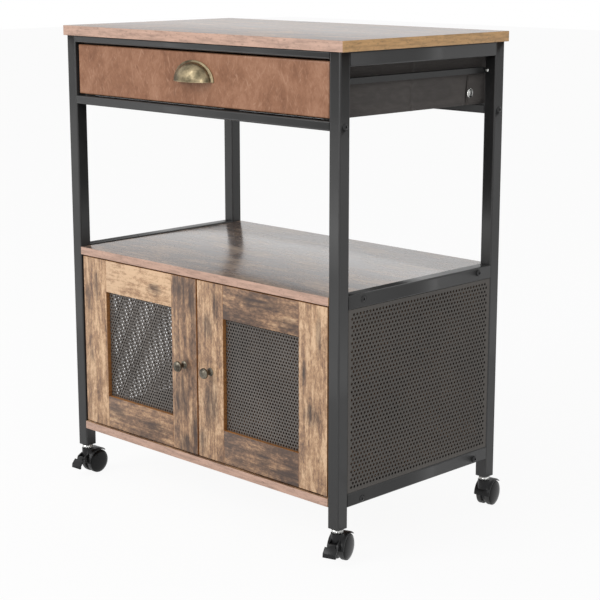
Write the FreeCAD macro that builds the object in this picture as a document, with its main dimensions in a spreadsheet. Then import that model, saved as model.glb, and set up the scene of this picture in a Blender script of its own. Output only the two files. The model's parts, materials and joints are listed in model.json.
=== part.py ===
import FreeCAD, Part
import os
import re
import Sketcher

# Rolling microwave cart: a steel tube frame on four twin-wheel casters, a wooden top board, a
# drawer with a leather-covered front and a fabric box, an open bay, and a two-door cabinet with
# perforated steel sides.  X runs to the right, the doors face -Y and Z is up; the origin is on the
# floor under the middle of the frame.

V = FreeCAD.Vector

# ---------------------------------------------------------------------------- driving dimensions
SIZES = {
    # overall
    "top_width": 590.0,
    "top_depth": 350.0,
    "cart_height": 720.0,
    "top_thick": 15.0,
    # steel frame
    "side_overhang": 6.0,
    "front_overhang": 2.0,
    "tube_side": 20.0,
    "tube_wall": 1.2,
    "tube_corner": 1.6,
    "post_foot": 50.0,
    "low_rail_foot": 79.0,
    "mid_rail_foot": 359.0,
    "bar_height": 13.0,
    "top_bar_height": 10.0,
    # boards
    "board_thick": 12.0,
    "shelf_inset": 2.0,
    "floor_inset": 7.0,
    "back_thick": 5.0,
    "back_gap": 2.0,
    "back_inset": 2.0,
    # perforated side sheets
    "sheet_thick": 1.2,
    "sheet_recess": 1.0,
    "hole_pitch": 22.0,
    "hole_across": 12.0,
    "sheet_border": 9.0,
    # bolts through the frame
    "bolt_shank": 2.4,
    "bolt_hole": 2.5,
    "bolt_head": 4.8,
    "bolt_head_height": 2.4,
    "bolt_reach": 8.0,
    "bolt_end_gap": 1.0,
    "bolt_spread": 125.0,
    # drawer
    "drawer_gap": 3.0,
    "drawer_recess": 3.5,
    "front_height": 75.0,
    "front_thick": 13.2,
    "skin_thick": 1.4,
    "skin_round": 3.0,
    "box_side_gap": 11.0,
    "box_wall": 3.0,
    "box_back_gap": 5.0,
    "box_drop": 2.0,
    "box_height": 73.0,
    # drawer runners
    "runner_rise": 45.0,
    "runner_height": 8.0,
    "runner_wall": 1.2,
    "runner_width": 10.0,
    "runner_tab": 9.0,
    "slide_play": 0.5,
    "slide_clear": 0.8,
    "slide_end_gap": 5.0,
    "snap_round": 7.0,
    "snap_proud": 2.2,
    "snap_back": 34.0,
    "snap_rise": 16.0,
    # cup pull
    "pull_width": 84.0,
    "pull_height": 30.0,
    "pull_reach": 22.0,
    "pull_rim": 5.0,
    "pull_wall": 1.6,
    "pull_flange": 1.6,
    "pull_drop": 11.0,
    # doors
    "door_thick": 15.0,
    "door_recess": 2.0,
    "door_side_gap": 3.0,
    "door_end_gap": 2.5,
    "door_middle_gap": 3.0,
    "stile_width": 55.0,
    "rail_width": 50.0,
    "mesh_thick": 1.2,
    "mesh_edge": 5.0,
    "pin_inset": 10.0,
    "pin_round": 2.5,
    "pin_fit": 0.05,
    "pin_in_board": 7.0,
    "pin_in_door": 9.0,
    "pin_end_gap": 1.0,
    "knob_round": 8.2,
    "knob_neck": 3.4,
    "knob_base": 6.2,
    "knob_base_thick": 1.5,
    "knob_flare": 1.5,
    "knob_cap": 9.6,
    "knob_lip": 0.7,
    "knob_rim": 2.2,
    "knob_crown": 2.8,
    "knob_face": 3.8,
    "knob_dome": 0.4,
    "knob_reach": 18.0,
    "catch_width": 44.0,
    "catch_height": 14.0,
    "catch_depth": 12.0,
    "catch_gap": 0.4,
    # casters
    "wheel_round": 19.0,
    "wheel_width": 10.5,
    "wheel_edge": 1.6,
    "tread_width": 6.6,
    "dome_shoulder": 17.6,
    "dome_shoulder_rise": 1.5,
    "dome_round": 12.6,
    "dome_fall": 0.9,
    "dome_wall": 2.2,
    "web_round": 16.0,
    "web_thick": 6.0,
    "gusset_rise": 2.0,
    "wheel_play": 0.3,
    "axle_round": 3.0,
    "bore_fit": 0.05,
    "caster_trail": 14.0,
    "hood_thick": 2.4,
    "hood_play": 1.0,
    "hood_width": 26.0,
    "hood_crown": 1.4,
    "hood_sweep": 125.0,
    "boss_round": 9.4,
    "boss_foot": 29.0,
    "boss_top": 43.0,
    "stem_round": 4.0,
    "stem_depth": 8.0,
    "stem_rise": 20.0,
    "collar_round": 8.6,
    "collar_gap": 0.4,
    "plug_height": 26.0,
    "heading_front_left": 93.0,
    "heading_front_right": 107.0,
    "heading_back_left": 84.0,
    "heading_back_right": 100.0,
    # brake levers
    "brake_reach": 13.0,
    "brake_rise": 27.5,
    "brake_barrel": 3.0,
    "brake_barrel_half": 5.6,
    "brake_pin": 1.6,
    "ear_thick": 2.4,
    "ear_gap": 0.4,
    "ear_root": 3.0,
    "ear_lip": 3.2,
    "pedal_width": 20.0,
    "pedal_thick": 2.7,
    "knee_out": 6.5,
    "knee_drop": 0.5,
    "bend_out": 13.0,
    "bend_drop": 8.0,
    "tip_out": 13.5,
    "tip_drop": 14.0,
}

# Places that follow from the sizes, in the same units.
PLACES = {
    "post_top": "cart_height - top_thick",
    "post_length": "post_top - post_foot",
    "outer_x": "top_width / 2 - side_overhang",
    "outer_y": "top_depth / 2 - front_overhang",
    "inner_x": "outer_x - tube_side",
    "inner_y": "outer_y - tube_side",
    "stem_x": "outer_x - tube_side / 2",
    "stem_y": "outer_y - tube_side / 2",
    "top_rail_foot": "post_top - tube_side",
    "top_bar_foot": "post_top - top_bar_height",
    "bar_foot": "front_foot - drawer_gap - bar_height",
    "bar_middle": "bar_foot + bar_height / 2",
    "low_rail_top": "low_rail_foot + tube_side",
    "shelf_top": "mid_rail_foot + tube_side - shelf_inset",
    "floor_top": "low_rail_top - floor_inset",
    "shelf_foot": "shelf_top - board_thick",
    "floor_foot": "floor_top - board_thick",
    "shelf_middle": "shelf_top - board_thick / 2",
    "floor_middle": "floor_top - board_thick / 2",
    "sheet_height": "mid_rail_foot - low_rail_top",
    "sheet_outside": "outer_x - sheet_recess",
    "cabinet_height": "shelf_foot - floor_top",
    # drawer
    "front_top": "top_bar_foot - drawer_gap",
    "front_foot": "front_top - front_height",
    "front_half": "inner_x - drawer_gap",
    "front_face": "-outer_y + drawer_recess",
    "front_back": "front_face + front_thick",
    "box_half": "inner_x - box_side_gap",
    "box_back": "outer_y - box_back_gap",
    "box_length": "box_back - front_back",
    "box_foot": "front_foot - box_drop",
    "slide_back": "inner_y - slide_end_gap",
    "tongue_tip": "inner_x - slide_clear",
    "runner_outer": "tongue_tip + slide_play + runner_wall",
    "runner_inner": "runner_outer - runner_width",
    "runner_foot": "box_foot + runner_rise",
    "runner_middle": "runner_foot + runner_height / 2",
    "tongue_half": "runner_height / 2 - runner_wall - slide_play",
    "pull_foot": "front_top - pull_drop - pull_height",
    # doors
    "door_foot": "floor_top + door_end_gap",
    "door_height": "cabinet_height - 2 * door_end_gap",
    "door_outer": "inner_x - door_side_gap",
    "door_inner": "door_middle_gap / 2",
    "door_width": "door_outer - door_inner",
    "door_face": "-outer_y + door_recess",
    "door_middle_y": "door_face + door_thick / 2",
    "door_back": "door_face + door_thick",
    "pin_x": "door_outer - pin_inset",
    "window_width": "door_width - 2 * stile_width",
    "window_height": "door_height - 2 * rail_width",
    "knob_x": "door_inner + stile_width / 2",
    "knob_z": "door_foot + door_height / 2",
    # casters
    "wheel_start": "web_thick / 2 + wheel_play",
    "wheel_end": "wheel_start + wheel_width",
    "axle_end": "wheel_end - dome_wall - wheel_play",
    "hood_inner": "wheel_round + hood_play",
    "hood_outer": "hood_inner + hood_thick",
    "ear_start": "brake_barrel_half + ear_gap",
    "ear_end": "ear_start + ear_thick",
    "hood_middle_x": "caster_trail - hood_inner - hood_thick / 2",
    "boss_bottom": "boss_top - stem_depth",
}

doc = FreeCAD.newDocument("MicrowaveCart")
sheet = doc.addObject("Spreadsheet::Sheet", "Sizes")
for row, (name, number) in enumerate(SIZES.items(), start=1):
    sheet.set("A%d" % row, name.replace("_", " "))
    sheet.set("B%d" % row, repr(number))
    sheet.setAlias("B%d" % row, name)
doc.recompute()


def bound(text):
    """Turn a length written in plain names into an expression over the sheet's cells."""
    def swap(found):
        name = found.group()
        if name in PLACES:
            return "(" + bound(PLACES[name]) + ")"
        if name in SIZES:
            return "Sizes." + name
        return name
    return re.sub(r"[a-z_]+", swap, str(text))


def read(text):
    """The number of a size or place, worked out from the sheet."""
    return float(sheet.evalExpression(bound(text)))


# ---------------------------------------------------------------------------- shared construction
def new_body(label, x="0", y="0", z="0", turn=None):
    """A body whose place, and turn about Z if any, are bound to the sheet."""
    body = doc.addObject("PartDesign::Body", label)
    body.Label = label
    if turn is not None:
        body.Placement.Rotation = FreeCAD.Rotation(V(0, 0, 1), 1)
        body.setExpression("Placement.Rotation.Angle", bound(turn))
    for axis, place in zip("xyz", (x, y, z)):
        body.setExpression("Placement.Base." + axis, bound(place))
    return body


def new_sketch(body, plane, offset=None, shift=None):
    """A sketch on one of the body's own origin planes, moved along it by bound distances."""
    sketch = body.newObject("Sketcher::SketchObject", body.Name + "_sketch")
    support = [item for item in body.Origin.OriginFeatures if item.Role == plane][0]
    sketch.AttachmentSupport = (support, [""])
    sketch.MapMode = "FlatFace"
    if offset is not None:
        sketch.setExpression("AttachmentOffset.Base.z", bound(offset))
    if shift is not None:
        sketch.setExpression("AttachmentOffset.Base.x", bound(shift[0]))
        sketch.setExpression("AttachmentOffset.Base.y", bound(shift[1]))
    return sketch


def fix_point(sketch, geometry, end, place):
    """Hold one point of the sketch at a bound place."""
    for kind, length in (("DistanceX", place[0]), ("DistanceY", place[1])):
        index = sketch.addConstraint(Sketcher.Constraint(kind, -1, 1, geometry, end, 1.0))
        sketch.setExpression("Constraints[%d]" % index, bound(length))


def add_outline(sketch, corners):
    """A closed run of straight lines through bound corners."""
    count = len(corners)
    first = sketch.GeometryCount
    for step in range(count):
        start = V(step, step * step, 0)
        stop = V(step + 1, (step + 1) * (step + 1), 0)
        sketch.addGeometry(Part.LineSegment(start, stop), False)
    for step in range(count):
        following = first + (step + 1) % count
        sketch.addConstraint(Sketcher.Constraint("Coincident", first + step, 2, following, 1))
        fix_point(sketch, first + step, 1, corners[step])


def add_circle(sketch, centre, radius):
    """A circle with a bound centre and radius."""
    index = sketch.addGeometry(Part.Circle(V(1, 1, 0), V(0, 0, 1), 1.0), False)
    fix_point(sketch, index, 3, centre)
    size = sketch.addConstraint(Sketcher.Constraint("Radius", index, 1.0))
    sketch.setExpression("Constraints[%d]" % size, bound(radius))


def box_corners(left, low, right, high):
    return [(left, low), (right, low), (right, high), (left, high)]


def cut_corners(left, low, right, high, cut):
    """A rectangle with its corners taken off at 45 degrees."""
    return [
        (f"{left} + {cut}", low),
        (f"{right} - {cut}", low),
        (right, f"{low} + {cut}"),
        (right, f"{high} - {cut}"),
        (f"{right} - {cut}", high),
        (f"{left} + {cut}", high),
        (left, f"{high} - {cut}"),
        (left, f"{low} + {cut}"),
    ]


def pad(body, sketch, length, both=False, backward=False):
    """Extrude a sketch by a bound length, to both sides of its plane or to one."""
    feature = body.newObject("PartDesign::Pad", body.Name + "_pad")
    feature.Profile = sketch
    feature.setExpression("Length", bound(length))
    feature.SideType = "Symmetric" if both else "One side"
    feature.Reversed = backward
    body.Tip = feature
    return feature


def pocket(body, sketch, depth, both=False, backward=False):
    """Cut a sketch's outline out of the body to a bound depth."""
    feature = body.newObject("PartDesign::Pocket", body.Name + "_pocket")
    feature.Profile = sketch
    feature.setExpression("Length", bound(depth))
    feature.SideType = "Symmetric" if both else "One side"
    feature.Reversed = backward
    body.Tip = feature
    return feature


def revolve(body, sketch, angle=None, backward=False):
    """Turn a sketch about its own vertical axis."""
    feature = body.newObject("PartDesign::Revolution", body.Name + "_turned")
    feature.Profile = sketch
    feature.ReferenceAxis = (sketch, ["V_Axis"])
    if angle is None:
        feature.Angle = 360.0
    else:
        feature.setExpression("Angle", bound(angle))
    feature.Reversed = backward
    body.Tip = feature
    return feature


def tube(label, plane, across, high, length, place, both=False):
    """A square tube with softened outer corners, drawn from the corner of its section."""
    body = new_body(label, *place)
    sketch = new_sketch(body, plane)
    add_outline(sketch, cut_corners("0", "0", across, high, "tube_corner"))
    add_outline(sketch, box_corners("tube_wall", "tube_wall", f"{across} - tube_wall",
                                    f"{high} - tube_wall"))
    pad(body, sketch, length, both)
    return body


def drill(body, plane, places, radius, depth, offset="0", both=False, backward=False):
    """Round holes of one size, cut from a plane of the body."""
    sketch = new_sketch(body, plane, offset)
    for place in places:
        add_circle(sketch, place, radius)
    pocket(body, sketch, depth, both, backward)


SIDES = (("left", -1), ("right", 1))
ENDS = (("front", -1), ("back", 1))


# ---------------------------------------------------------------------------- steel frame
def make_post(side, across, end, along):
    """One corner post: a tube standing on its caster, drilled for the crossbar bolts."""
    x = f"{across} * stem_x - tube_side / 2"
    y = f"{along} * stem_y - tube_side / 2"
    body = tube(f"post_{end}_{side}", "XY_Plane", "tube_side", "tube_side", "post_length",
                (x, y, "post_foot"))
    drill(body, "YZ_Plane", [("tube_side / 2", "bar_middle - post_foot")], "bolt_hole",
          "3 * tube_side", both=True)


def make_side_rail(name, foot, side, across, bolt_height=None):
    """A side rail between the front and back posts, flush with their outer faces."""
    x = f"{across} * stem_x - tube_side / 2"
    body = tube(f"{name}_rail_{side}", "XZ_Plane", "tube_side", "tube_side", "2 * inner_y",
                (x, "0", foot), both=True)
    if bolt_height is not None:
        holes = [(f"{way} * bolt_spread", f"{bolt_height} - {foot}") for way in (-1, 1)]
        drill(body, "YZ_Plane", holes, "bolt_hole", "3 * tube_side", both=True)


def make_crossbar(name, foot, high, end, along):
    """A crossbar from the left posts to the right ones."""
    y = f"{along} * stem_y - tube_side / 2"
    tube(f"{name}_{end}", "YZ_Plane", "tube_side", high, "2 * inner_x", ("0", y, foot), both=True)


def make_bolts():
    """Round-headed bolts: one through each post into the lower crossbars, two in each side rail."""
    body = new_body("frame_bolts")
    places = []
    for way in (-1, 1):
        places.append((f"{way} * stem_y", "bar_middle"))
        places.append((f"{way} * bolt_spread", "shelf_middle"))
        places.append((f"{way} * bolt_spread", "floor_middle"))
    for _, across in SIDES:
        for radius, length, inward in (("bolt_head", "bolt_head_height", False),
                                       ("bolt_shank", "tube_side + bolt_reach", True)):
            sketch = new_sketch(body, "YZ_Plane", f"{across} * outer_x")
            for place in places:
                add_circle(sketch, place, radius)
            pad(body, sketch, length, backward=(across > 0) == inward)


def make_sheet(side, across):
    """A perforated steel side sheet: staggered holes, six-sided, inside a plain border."""
    pitch = read("hole_pitch")
    across_flats = read("hole_across")
    border = read("sheet_border")
    depth = 2 * read("inner_y")
    height = read("sheet_height")
    outer = [V(0, -depth / 2, 0), V(0, depth / 2, 0), V(0, depth / 2, height), V(0, -depth / 2, height)]
    wires = [Part.makePolygon(outer + outer[:1])]
    row_pitch = pitch * 3 ** 0.5 / 2
    clear = border + across_flats / 2
    rows = int((height - 2 * clear) / row_pitch) + 1
    columns = int((depth - 2 * clear) / pitch) + 1
    first_z = (height - (rows - 1) * row_pitch) / 2
    for row in range(rows):
        in_row = columns - row % 2
        for column in range(in_row):
            centre = V(0, (column - (in_row - 1) / 2) * pitch, first_z + row * row_pitch)
            corners = [centre + hexagon_corner(across_flats, step) for step in range(6)]
            wires.append(Part.makePolygon(corners + corners[:1]))
    face = Part.makeFace(wires, "Part::FaceMakerBullseye")
    thick = read("sheet_thick")
    body = doc.addObject("Part::Feature", f"side_sheet_{side}")
    body.Label = f"side_sheet_{side}"
    body.Shape = face.extrude(V(thick, 0, 0))
    start = read("sheet_outside - sheet_thick") if across > 0 else -read("sheet_outside")
    body.Placement = FreeCAD.Placement(V(start, 0, read("low_rail_top")), FreeCAD.Rotation())


def hexagon_corner(across_flats, step):
    """A corner of an upright hexagon, measured from its middle."""
    turned = FreeCAD.Rotation(V(1, 0, 0), 60.0 * step)
    return turned.multVec(V(0, 0, across_flats / 3 ** 0.5))


# ---------------------------------------------------------------------------- boards
def make_top_board():
    body = new_body("top_board", z="post_top")
    sketch = new_sketch(body, "XY_Plane")
    add_outline(sketch, box_corners("-top_width / 2", "-top_depth / 2", "top_width / 2",
                                    "top_depth / 2"))
    pad(body, sketch, "top_thick")


def make_board(label, foot, bolt_height, pins_up):
    """A cabinet board between the frame's sides, drilled for its bolts and the door pins."""
    body = new_body(label, z=foot)
    sketch = new_sketch(body, "XY_Plane")
    add_outline(sketch, box_corners("-inner_x", "-outer_y", "inner_x", "outer_y"))
    pad(body, sketch, "board_thick")
    holes = [(f"{way} * bolt_spread", f"{bolt_height} - {foot}") for way in (-1, 1)]
    drill(body, "YZ_Plane", holes, "bolt_hole", "bolt_reach + bolt_end_gap", "inner_x")
    drill(body, "YZ_Plane", holes, "bolt_hole", "bolt_reach + bolt_end_gap", "-inner_x", backward=True)
    pins = [(f"{across} * pin_x", "door_middle_y") for _, across in SIDES]
    if pins_up:
        drill(body, "XY_Plane", pins, "pin_round", "pin_in_board", "board_thick")
    else:
        drill(body, "XY_Plane", pins, "pin_round", "pin_in_board", backward=True)


def make_back_panel():
    body = new_body("back_panel", y="outer_y - back_inset - back_thick", z="floor_top")
    sketch = new_sketch(body, "XY_Plane")
    add_outline(sketch, box_corners("-inner_x + back_gap", "0", "inner_x - back_gap", "back_thick"))
    pad(body, sketch, "cabinet_height")


# ---------------------------------------------------------------------------- drawer
def make_drawer_front():
    """The drawer's wooden front board and the leather-look skin wrapped round its face and edges."""
    board = new_body("drawer_front_board", y="front_back", z="front_foot")
    sketch = new_sketch(board, "XZ_Plane")
    add_outline(sketch, box_corners("-front_half + skin_thick", "skin_thick",
                                    "front_half - skin_thick", "front_height - skin_thick"))
    pad(board, sketch, "front_thick - skin_thick")

    skin = new_body("drawer_front_skin", y="front_back", z="front_foot")
    sketch = new_sketch(skin, "XZ_Plane")
    add_outline(sketch, box_corners("-front_half", "0", "front_half", "front_height"))
    slab = pad(skin, sketch, "front_thick")
    doc.recompute()
    face_edges = ["Edge%d" % index for index, edge in enumerate(slab.Shape.Edges, start=1)
                  if edge.BoundBox.YMax < -0.5 * read("front_thick")]
    rounding = skin.newObject("PartDesign::Fillet", "skin_rounding")
    rounding.Base = (slab, face_edges)
    rounding.setExpression("Radius", bound("skin_round"))
    skin.Tip = rounding
    doc.recompute()
    sketch = new_sketch(skin, "XZ_Plane")
    add_outline(sketch, box_corners("-front_half + skin_thick", "skin_thick",
                                    "front_half - skin_thick", "front_height - skin_thick"))
    pocket(skin, sketch, "front_thick - skin_thick", backward=True)


def make_drawer_box():
    """The fabric box behind the front: four walls and a bottom, open at the top."""
    body = new_body("drawer_box", y="front_back", z="box_foot")
    sketch = new_sketch(body, "XY_Plane")
    add_outline(sketch, box_corners("-box_half", "0", "box_half", "box_length"))
    pad(body, sketch, "box_height")
    sketch = new_sketch(body, "XY_Plane", "box_height")
    add_outline(sketch, box_corners("-box_half + box_wall", "box_wall", "box_half - box_wall",
                                    "box_length - box_wall"))
    pocket(body, sketch, "box_height - box_wall")


def make_runner(side, across):
    """A steel channel between the posts, open towards the drawer, with a screwed tab at each end."""
    turn = "0" if across > 0 else "180"
    body = new_body(f"drawer_runner_{side}", z="runner_foot", turn=turn)
    sketch = new_sketch(body, "XZ_Plane")
    add_outline(sketch, [
        ("runner_inner", "0"),
        ("runner_outer", "0"),
        ("runner_outer", "runner_height"),
        ("runner_inner", "runner_height"),
        ("runner_inner", "runner_height - runner_wall"),
        ("runner_outer - runner_wall", "runner_height - runner_wall"),
        ("runner_outer - runner_wall", "runner_wall"),
        ("runner_inner", "runner_wall"),
    ])
    pad(body, sketch, "2 * inner_y", both=True)
    for offset, backward in (("inner_y", False), ("-inner_y", True)):
        sketch = new_sketch(body, "XZ_Plane", offset)
        add_outline(sketch, box_corners("runner_outer - runner_wall", "0",
                                        "runner_outer + runner_tab", "runner_height"))
        pad(body, sketch, "runner_wall", backward=not backward)


def make_tongue(side, across):
    """The flat bar on the drawer's side that slides in the channel."""
    turn = "0" if across > 0 else "180"
    place = "(front_back + slide_back) / 2"
    body = new_body(f"drawer_slide_{side}", y=place, z="runner_middle", turn=turn)
    sketch = new_sketch(body, "XZ_Plane")
    add_outline(sketch, box_corners("box_half", "-tongue_half", "tongue_tip", "tongue_half"))
    pad(body, sketch, "slide_back - front_back", both=True)


def make_snaps():
    """The press buttons that close the box's back corners, one on each side."""
    body = new_body("snap_buttons")
    for _, across in SIDES:
        sketch = new_sketch(body, "YZ_Plane", f"{across} * box_half")
        add_circle(sketch, ("box_back - snap_back", "box_foot + snap_rise"), "snap_round")
        pad(body, sketch, "snap_proud", backward=across < 0)


def ellipsoid(name, across, reach, rise):
    """An ellipsoid about the middle of the pull's lower edge."""
    form = doc.addObject("Part::Ellipsoid", name)
    form.setExpression("Radius1", bound(rise))
    form.setExpression("Radius2", bound(across))
    form.setExpression("Radius3", bound(reach))
    form.Angle1 = -90.0
    form.Angle2 = 90.0
    form.Angle3 = 360.0
    return form


def block(name, wide, deep, high, x, y, z):
    form = doc.addObject("Part::Box", name)
    for size, length in (("Length", wide), ("Width", deep), ("Height", high)):
        form.setExpression(size, bound(length))
    for axis, place in zip("xyz", (x, y, z)):
        form.setExpression("Placement.Base." + axis, bound(place))
    return form


def combine(kind, name, *forms):
    """A boolean of two forms, or a fusion of several."""
    result = doc.addObject("Part::" + kind, name)
    if kind == "MultiFuse":
        result.Shapes = list(forms)
    else:
        result.Base, result.Tool = forms
    return result


def make_cup_pull():
    """A cast cup pull: a quarter of an ellipsoid, hollow from below, on a thin curved flange."""
    shell = combine("Cut", "pull_shell",
                    ellipsoid("pull_outside", "pull_width / 2 - pull_rim", "pull_reach",
                              "pull_height - pull_rim / 2"),
                    ellipsoid("pull_inside", "pull_width / 2 - pull_rim - pull_wall",
                              "pull_reach - pull_wall", "pull_height - pull_rim / 2 - pull_wall"))
    front = block("pull_front", "pull_width", "pull_reach", "pull_height",
                  "-pull_width / 2", "-pull_reach", "0")
    cup = combine("Common", "pull_cup", shell, front)
    plate = combine("Common", "pull_plate",
                    ellipsoid("pull_plate_form", "pull_width / 2", "pull_width", "pull_height"),
                    block("pull_plate_block", "pull_width", "pull_flange", "pull_height",
                          "-pull_width / 2", "-pull_flange", "0"))
    pull = combine("MultiFuse", "cup_pull", cup, plate)
    pull.Label = "cup_pull"
    for axis, place in zip("xyz", ("0", "front_face", "pull_foot")):
        pull.setExpression("Placement.Base." + axis, bound(place))


# ---------------------------------------------------------------------------- doors
def grooved_section(width):
    """The section of a door member: a plain bar with the mesh groove in its inner edge."""
    slot_low = "door_thick / 2 - mesh_thick / 2"
    slot_high = "door_thick / 2 + mesh_thick / 2"
    return [
        ("0", "0"),
        (width, "0"),
        (width, slot_low),
        (f"{width} - mesh_edge", slot_low),
        (f"{width} - mesh_edge", slot_high),
        (width, slot_high),
        (width, "door_thick"),
        ("0", "door_thick"),
    ]


def make_stile(label, x, inward, hinged):
    """An upright of a door, full height; the hinge stile is bored for its two pins."""
    turned = inward < 0
    y = "door_back" if turned else "door_face"
    body = new_body(label, x, y, "door_foot", turn="180" if turned else "0")
    sketch = new_sketch(body, "XY_Plane")
    add_outline(sketch, grooved_section("stile_width"))
    pad(body, sketch, "door_height")
    if hinged:
        pins = [("pin_inset", "door_thick / 2")]
        depth = "pin_in_door + pin_end_gap"
        drill(body, "XY_Plane", pins, "pin_round + pin_fit", depth, "door_height")
        drill(body, "XY_Plane", pins, "pin_round + pin_fit", depth, backward=True)


def make_door_rail(label, x, z, upward):
    """A cross member of a door, between the stiles, grooved towards the window."""
    body = new_body(label, x, "door_face", z)
    sketch = new_sketch(body, "YZ_Plane")
    corners = [(across, high if upward else f"rail_width - ({high})")
               for high, across in grooved_section("rail_width")]
    add_outline(sketch, corners)
    pad(body, sketch, "window_width")


def make_mesh(label, x):
    """The mesh panel of a door, held in the grooves all round."""
    body = new_body(label, f"{x} - mesh_edge", "door_middle_y + mesh_thick / 2",
                    "door_foot + rail_width - mesh_edge")
    sketch = new_sketch(body, "XZ_Plane")
    add_outline(sketch, box_corners("0", "0", "window_width + 2 * mesh_edge",
                                    "window_height + 2 * mesh_edge"))
    pad(body, sketch, "mesh_thick")


def make_knob(label, x):
    """A turned mushroom knob on a small round base."""
    body = new_body(label, x, "door_face", "knob_z", turn="180")
    sketch = new_sketch(body, "XY_Plane")
    add_outline(sketch, [
        ("0", "0"),
        ("knob_base", "0"),
        ("knob_base", "knob_base_thick"),
        ("knob_neck", "knob_base_thick + knob_flare"),
        ("knob_neck", "knob_reach - knob_cap"),
        ("knob_round - knob_lip", "knob_reach - knob_crown - knob_rim - knob_flare"),
        ("knob_round", "knob_reach - knob_crown - knob_rim"),
        ("knob_round - knob_lip", "knob_reach - knob_crown"),
        ("knob_face", "knob_reach - knob_dome"),
        ("0", "knob_reach"),
    ])
    revolve(body, sketch)


def make_door(side, across):
    """One door: two stiles, two rails, the mesh and a knob near the meeting edge."""
    window = "door_inner + stile_width" if across > 0 else "-door_outer + stile_width"
    make_stile(f"door_{side}_hinge_stile", f"{across} * door_outer", -across, True)
    make_stile(f"door_{side}_free_stile", f"{across} * door_inner", across, False)
    make_door_rail(f"door_{side}_top_rail", window, "door_foot + door_height - rail_width", False)
    make_door_rail(f"door_{side}_bottom_rail", window, "door_foot", True)
    make_mesh(f"door_{side}_mesh", window)
    make_knob(f"door_{side}_knob", f"{across} * knob_x")


def make_hinge_pins():
    """Pins that the doors turn on, set in the boards above and below each hinge stile."""
    body = new_body("hinge_pins")
    pins = [(f"{across} * pin_x", "door_middle_y") for _, across in SIDES]
    length = "pin_in_board + door_end_gap + pin_in_door"
    for start in ("shelf_foot - door_end_gap - pin_in_door", "floor_top - pin_in_board"):
        sketch = new_sketch(body, "XY_Plane", start)
        for pin in pins:
            add_circle(sketch, pin, "pin_round")
        pad(body, sketch, length)


def make_door_catch():
    """The magnetic catch under the shelf, just behind the doors' meeting edges."""
    body = new_body("door_catch", y="door_back + catch_gap", z="shelf_foot - catch_height")
    sketch = new_sketch(body, "XY_Plane")
    add_outline(sketch, box_corners("-catch_width / 2", "0", "catch_width / 2", "catch_depth"))
    pad(body, sketch, "catch_height")


# ---------------------------------------------------------------------------- casters
CASTERS = [(end, side, along, across) for end, along in ENDS for side, across in SIDES]


def make_plugs_and_stems():
    """Plugs in the feet of the posts, and the steel stems with their collars."""
    plugs = new_body("post_plugs", z="post_foot")
    stems = new_body("caster_stems")
    places = [(f"{across} * stem_x", f"{along} * stem_y") for _, _, along, across in CASTERS]
    half = "tube_side / 2 - tube_wall"
    sketch = new_sketch(plugs, "XY_Plane")
    for x, y in places:
        add_outline(sketch, box_corners(f"{x} - ({half})", f"{y} - ({half})", f"{x} + {half}",
                                        f"{y} + {half}"))
    pad(plugs, sketch, "plug_height")
    drill(plugs, "XY_Plane", places, "stem_round", "plug_height", backward=True)

    sketch = new_sketch(stems, "XY_Plane", "boss_top + collar_gap")
    for place in places:
        add_circle(sketch, place, "collar_round")
    pad(stems, sketch, "post_foot - boss_top - collar_gap")
    sketch = new_sketch(stems, "XY_Plane", "boss_bottom + collar_gap")
    for place in places:
        add_circle(sketch, place, "stem_round")
    pad(stems, sketch, "post_foot + stem_rise - boss_bottom - collar_gap")


def make_hood(end, side, along, across):
    """A caster's hood and web, drawn with the stem on the Z axis and the wheel trailing along +X."""
    body = new_body(f"caster_hood_{end}_{side}", f"{across} * stem_x", f"{along} * stem_y",
                    turn=f"heading_{end}_{side}")
    half = "hood_width / 2"
    sketch = new_sketch(body, "XY_Plane")
    add_circle(sketch, ("0", "0"), "boss_round")
    sketch.setExpression("AttachmentOffset.Base.z", bound("boss_foot"))
    pad(body, sketch, "boss_top - boss_foot")
    clearance = new_sketch(body, "XZ_Plane")
    add_circle(clearance, ("caster_trail", "wheel_round"), "hood_inner")
    pocket(body, clearance, "2 * hood_width", both=True)

    # the hood over both wheels, swept from the stem's side over the top
    sketch = new_sketch(body, "XY_Plane", "wheel_round", ("caster_trail", "0"))
    add_outline(sketch, [
        ("-hood_inner", f"-{half}"),
        ("-hood_outer + hood_crown", f"-{half}"),
        ("-hood_outer", f"-{half} + 2 * hood_crown"),
        ("-hood_outer", f"{half} - 2 * hood_crown"),
        ("-hood_outer + hood_crown", half),
        ("-hood_inner", half),
    ])
    revolve(body, sketch, "hood_sweep")

    # the web between the wheels: a disc about the axle, and a gusset up to the stem's boss
    sketch = new_sketch(body, "XZ_Plane")
    add_circle(sketch, ("caster_trail", "wheel_round"), "web_round")
    pad(body, sketch, "web_thick", both=True)
    sketch = new_sketch(body, "XZ_Plane")
    add_outline(sketch, [
        ("caster_trail", "wheel_round"),
        ("caster_trail", "wheel_round + hood_inner + hood_thick / 2"),
        ("0", "boss_bottom"),
        ("hood_middle_x", "wheel_round + gusset_rise"),
    ])
    pad(body, sketch, "web_thick", both=True)
    sketch = new_sketch(body, "XZ_Plane")
    add_circle(sketch, ("caster_trail", "wheel_round"), "axle_round")
    pad(body, sketch, "2 * axle_end", both=True)
    drill(body, "XY_Plane", [("0", "0")], "stem_round + bore_fit", "stem_depth", "boss_top")

    if end == "front":
        add_ears(body)


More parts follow.
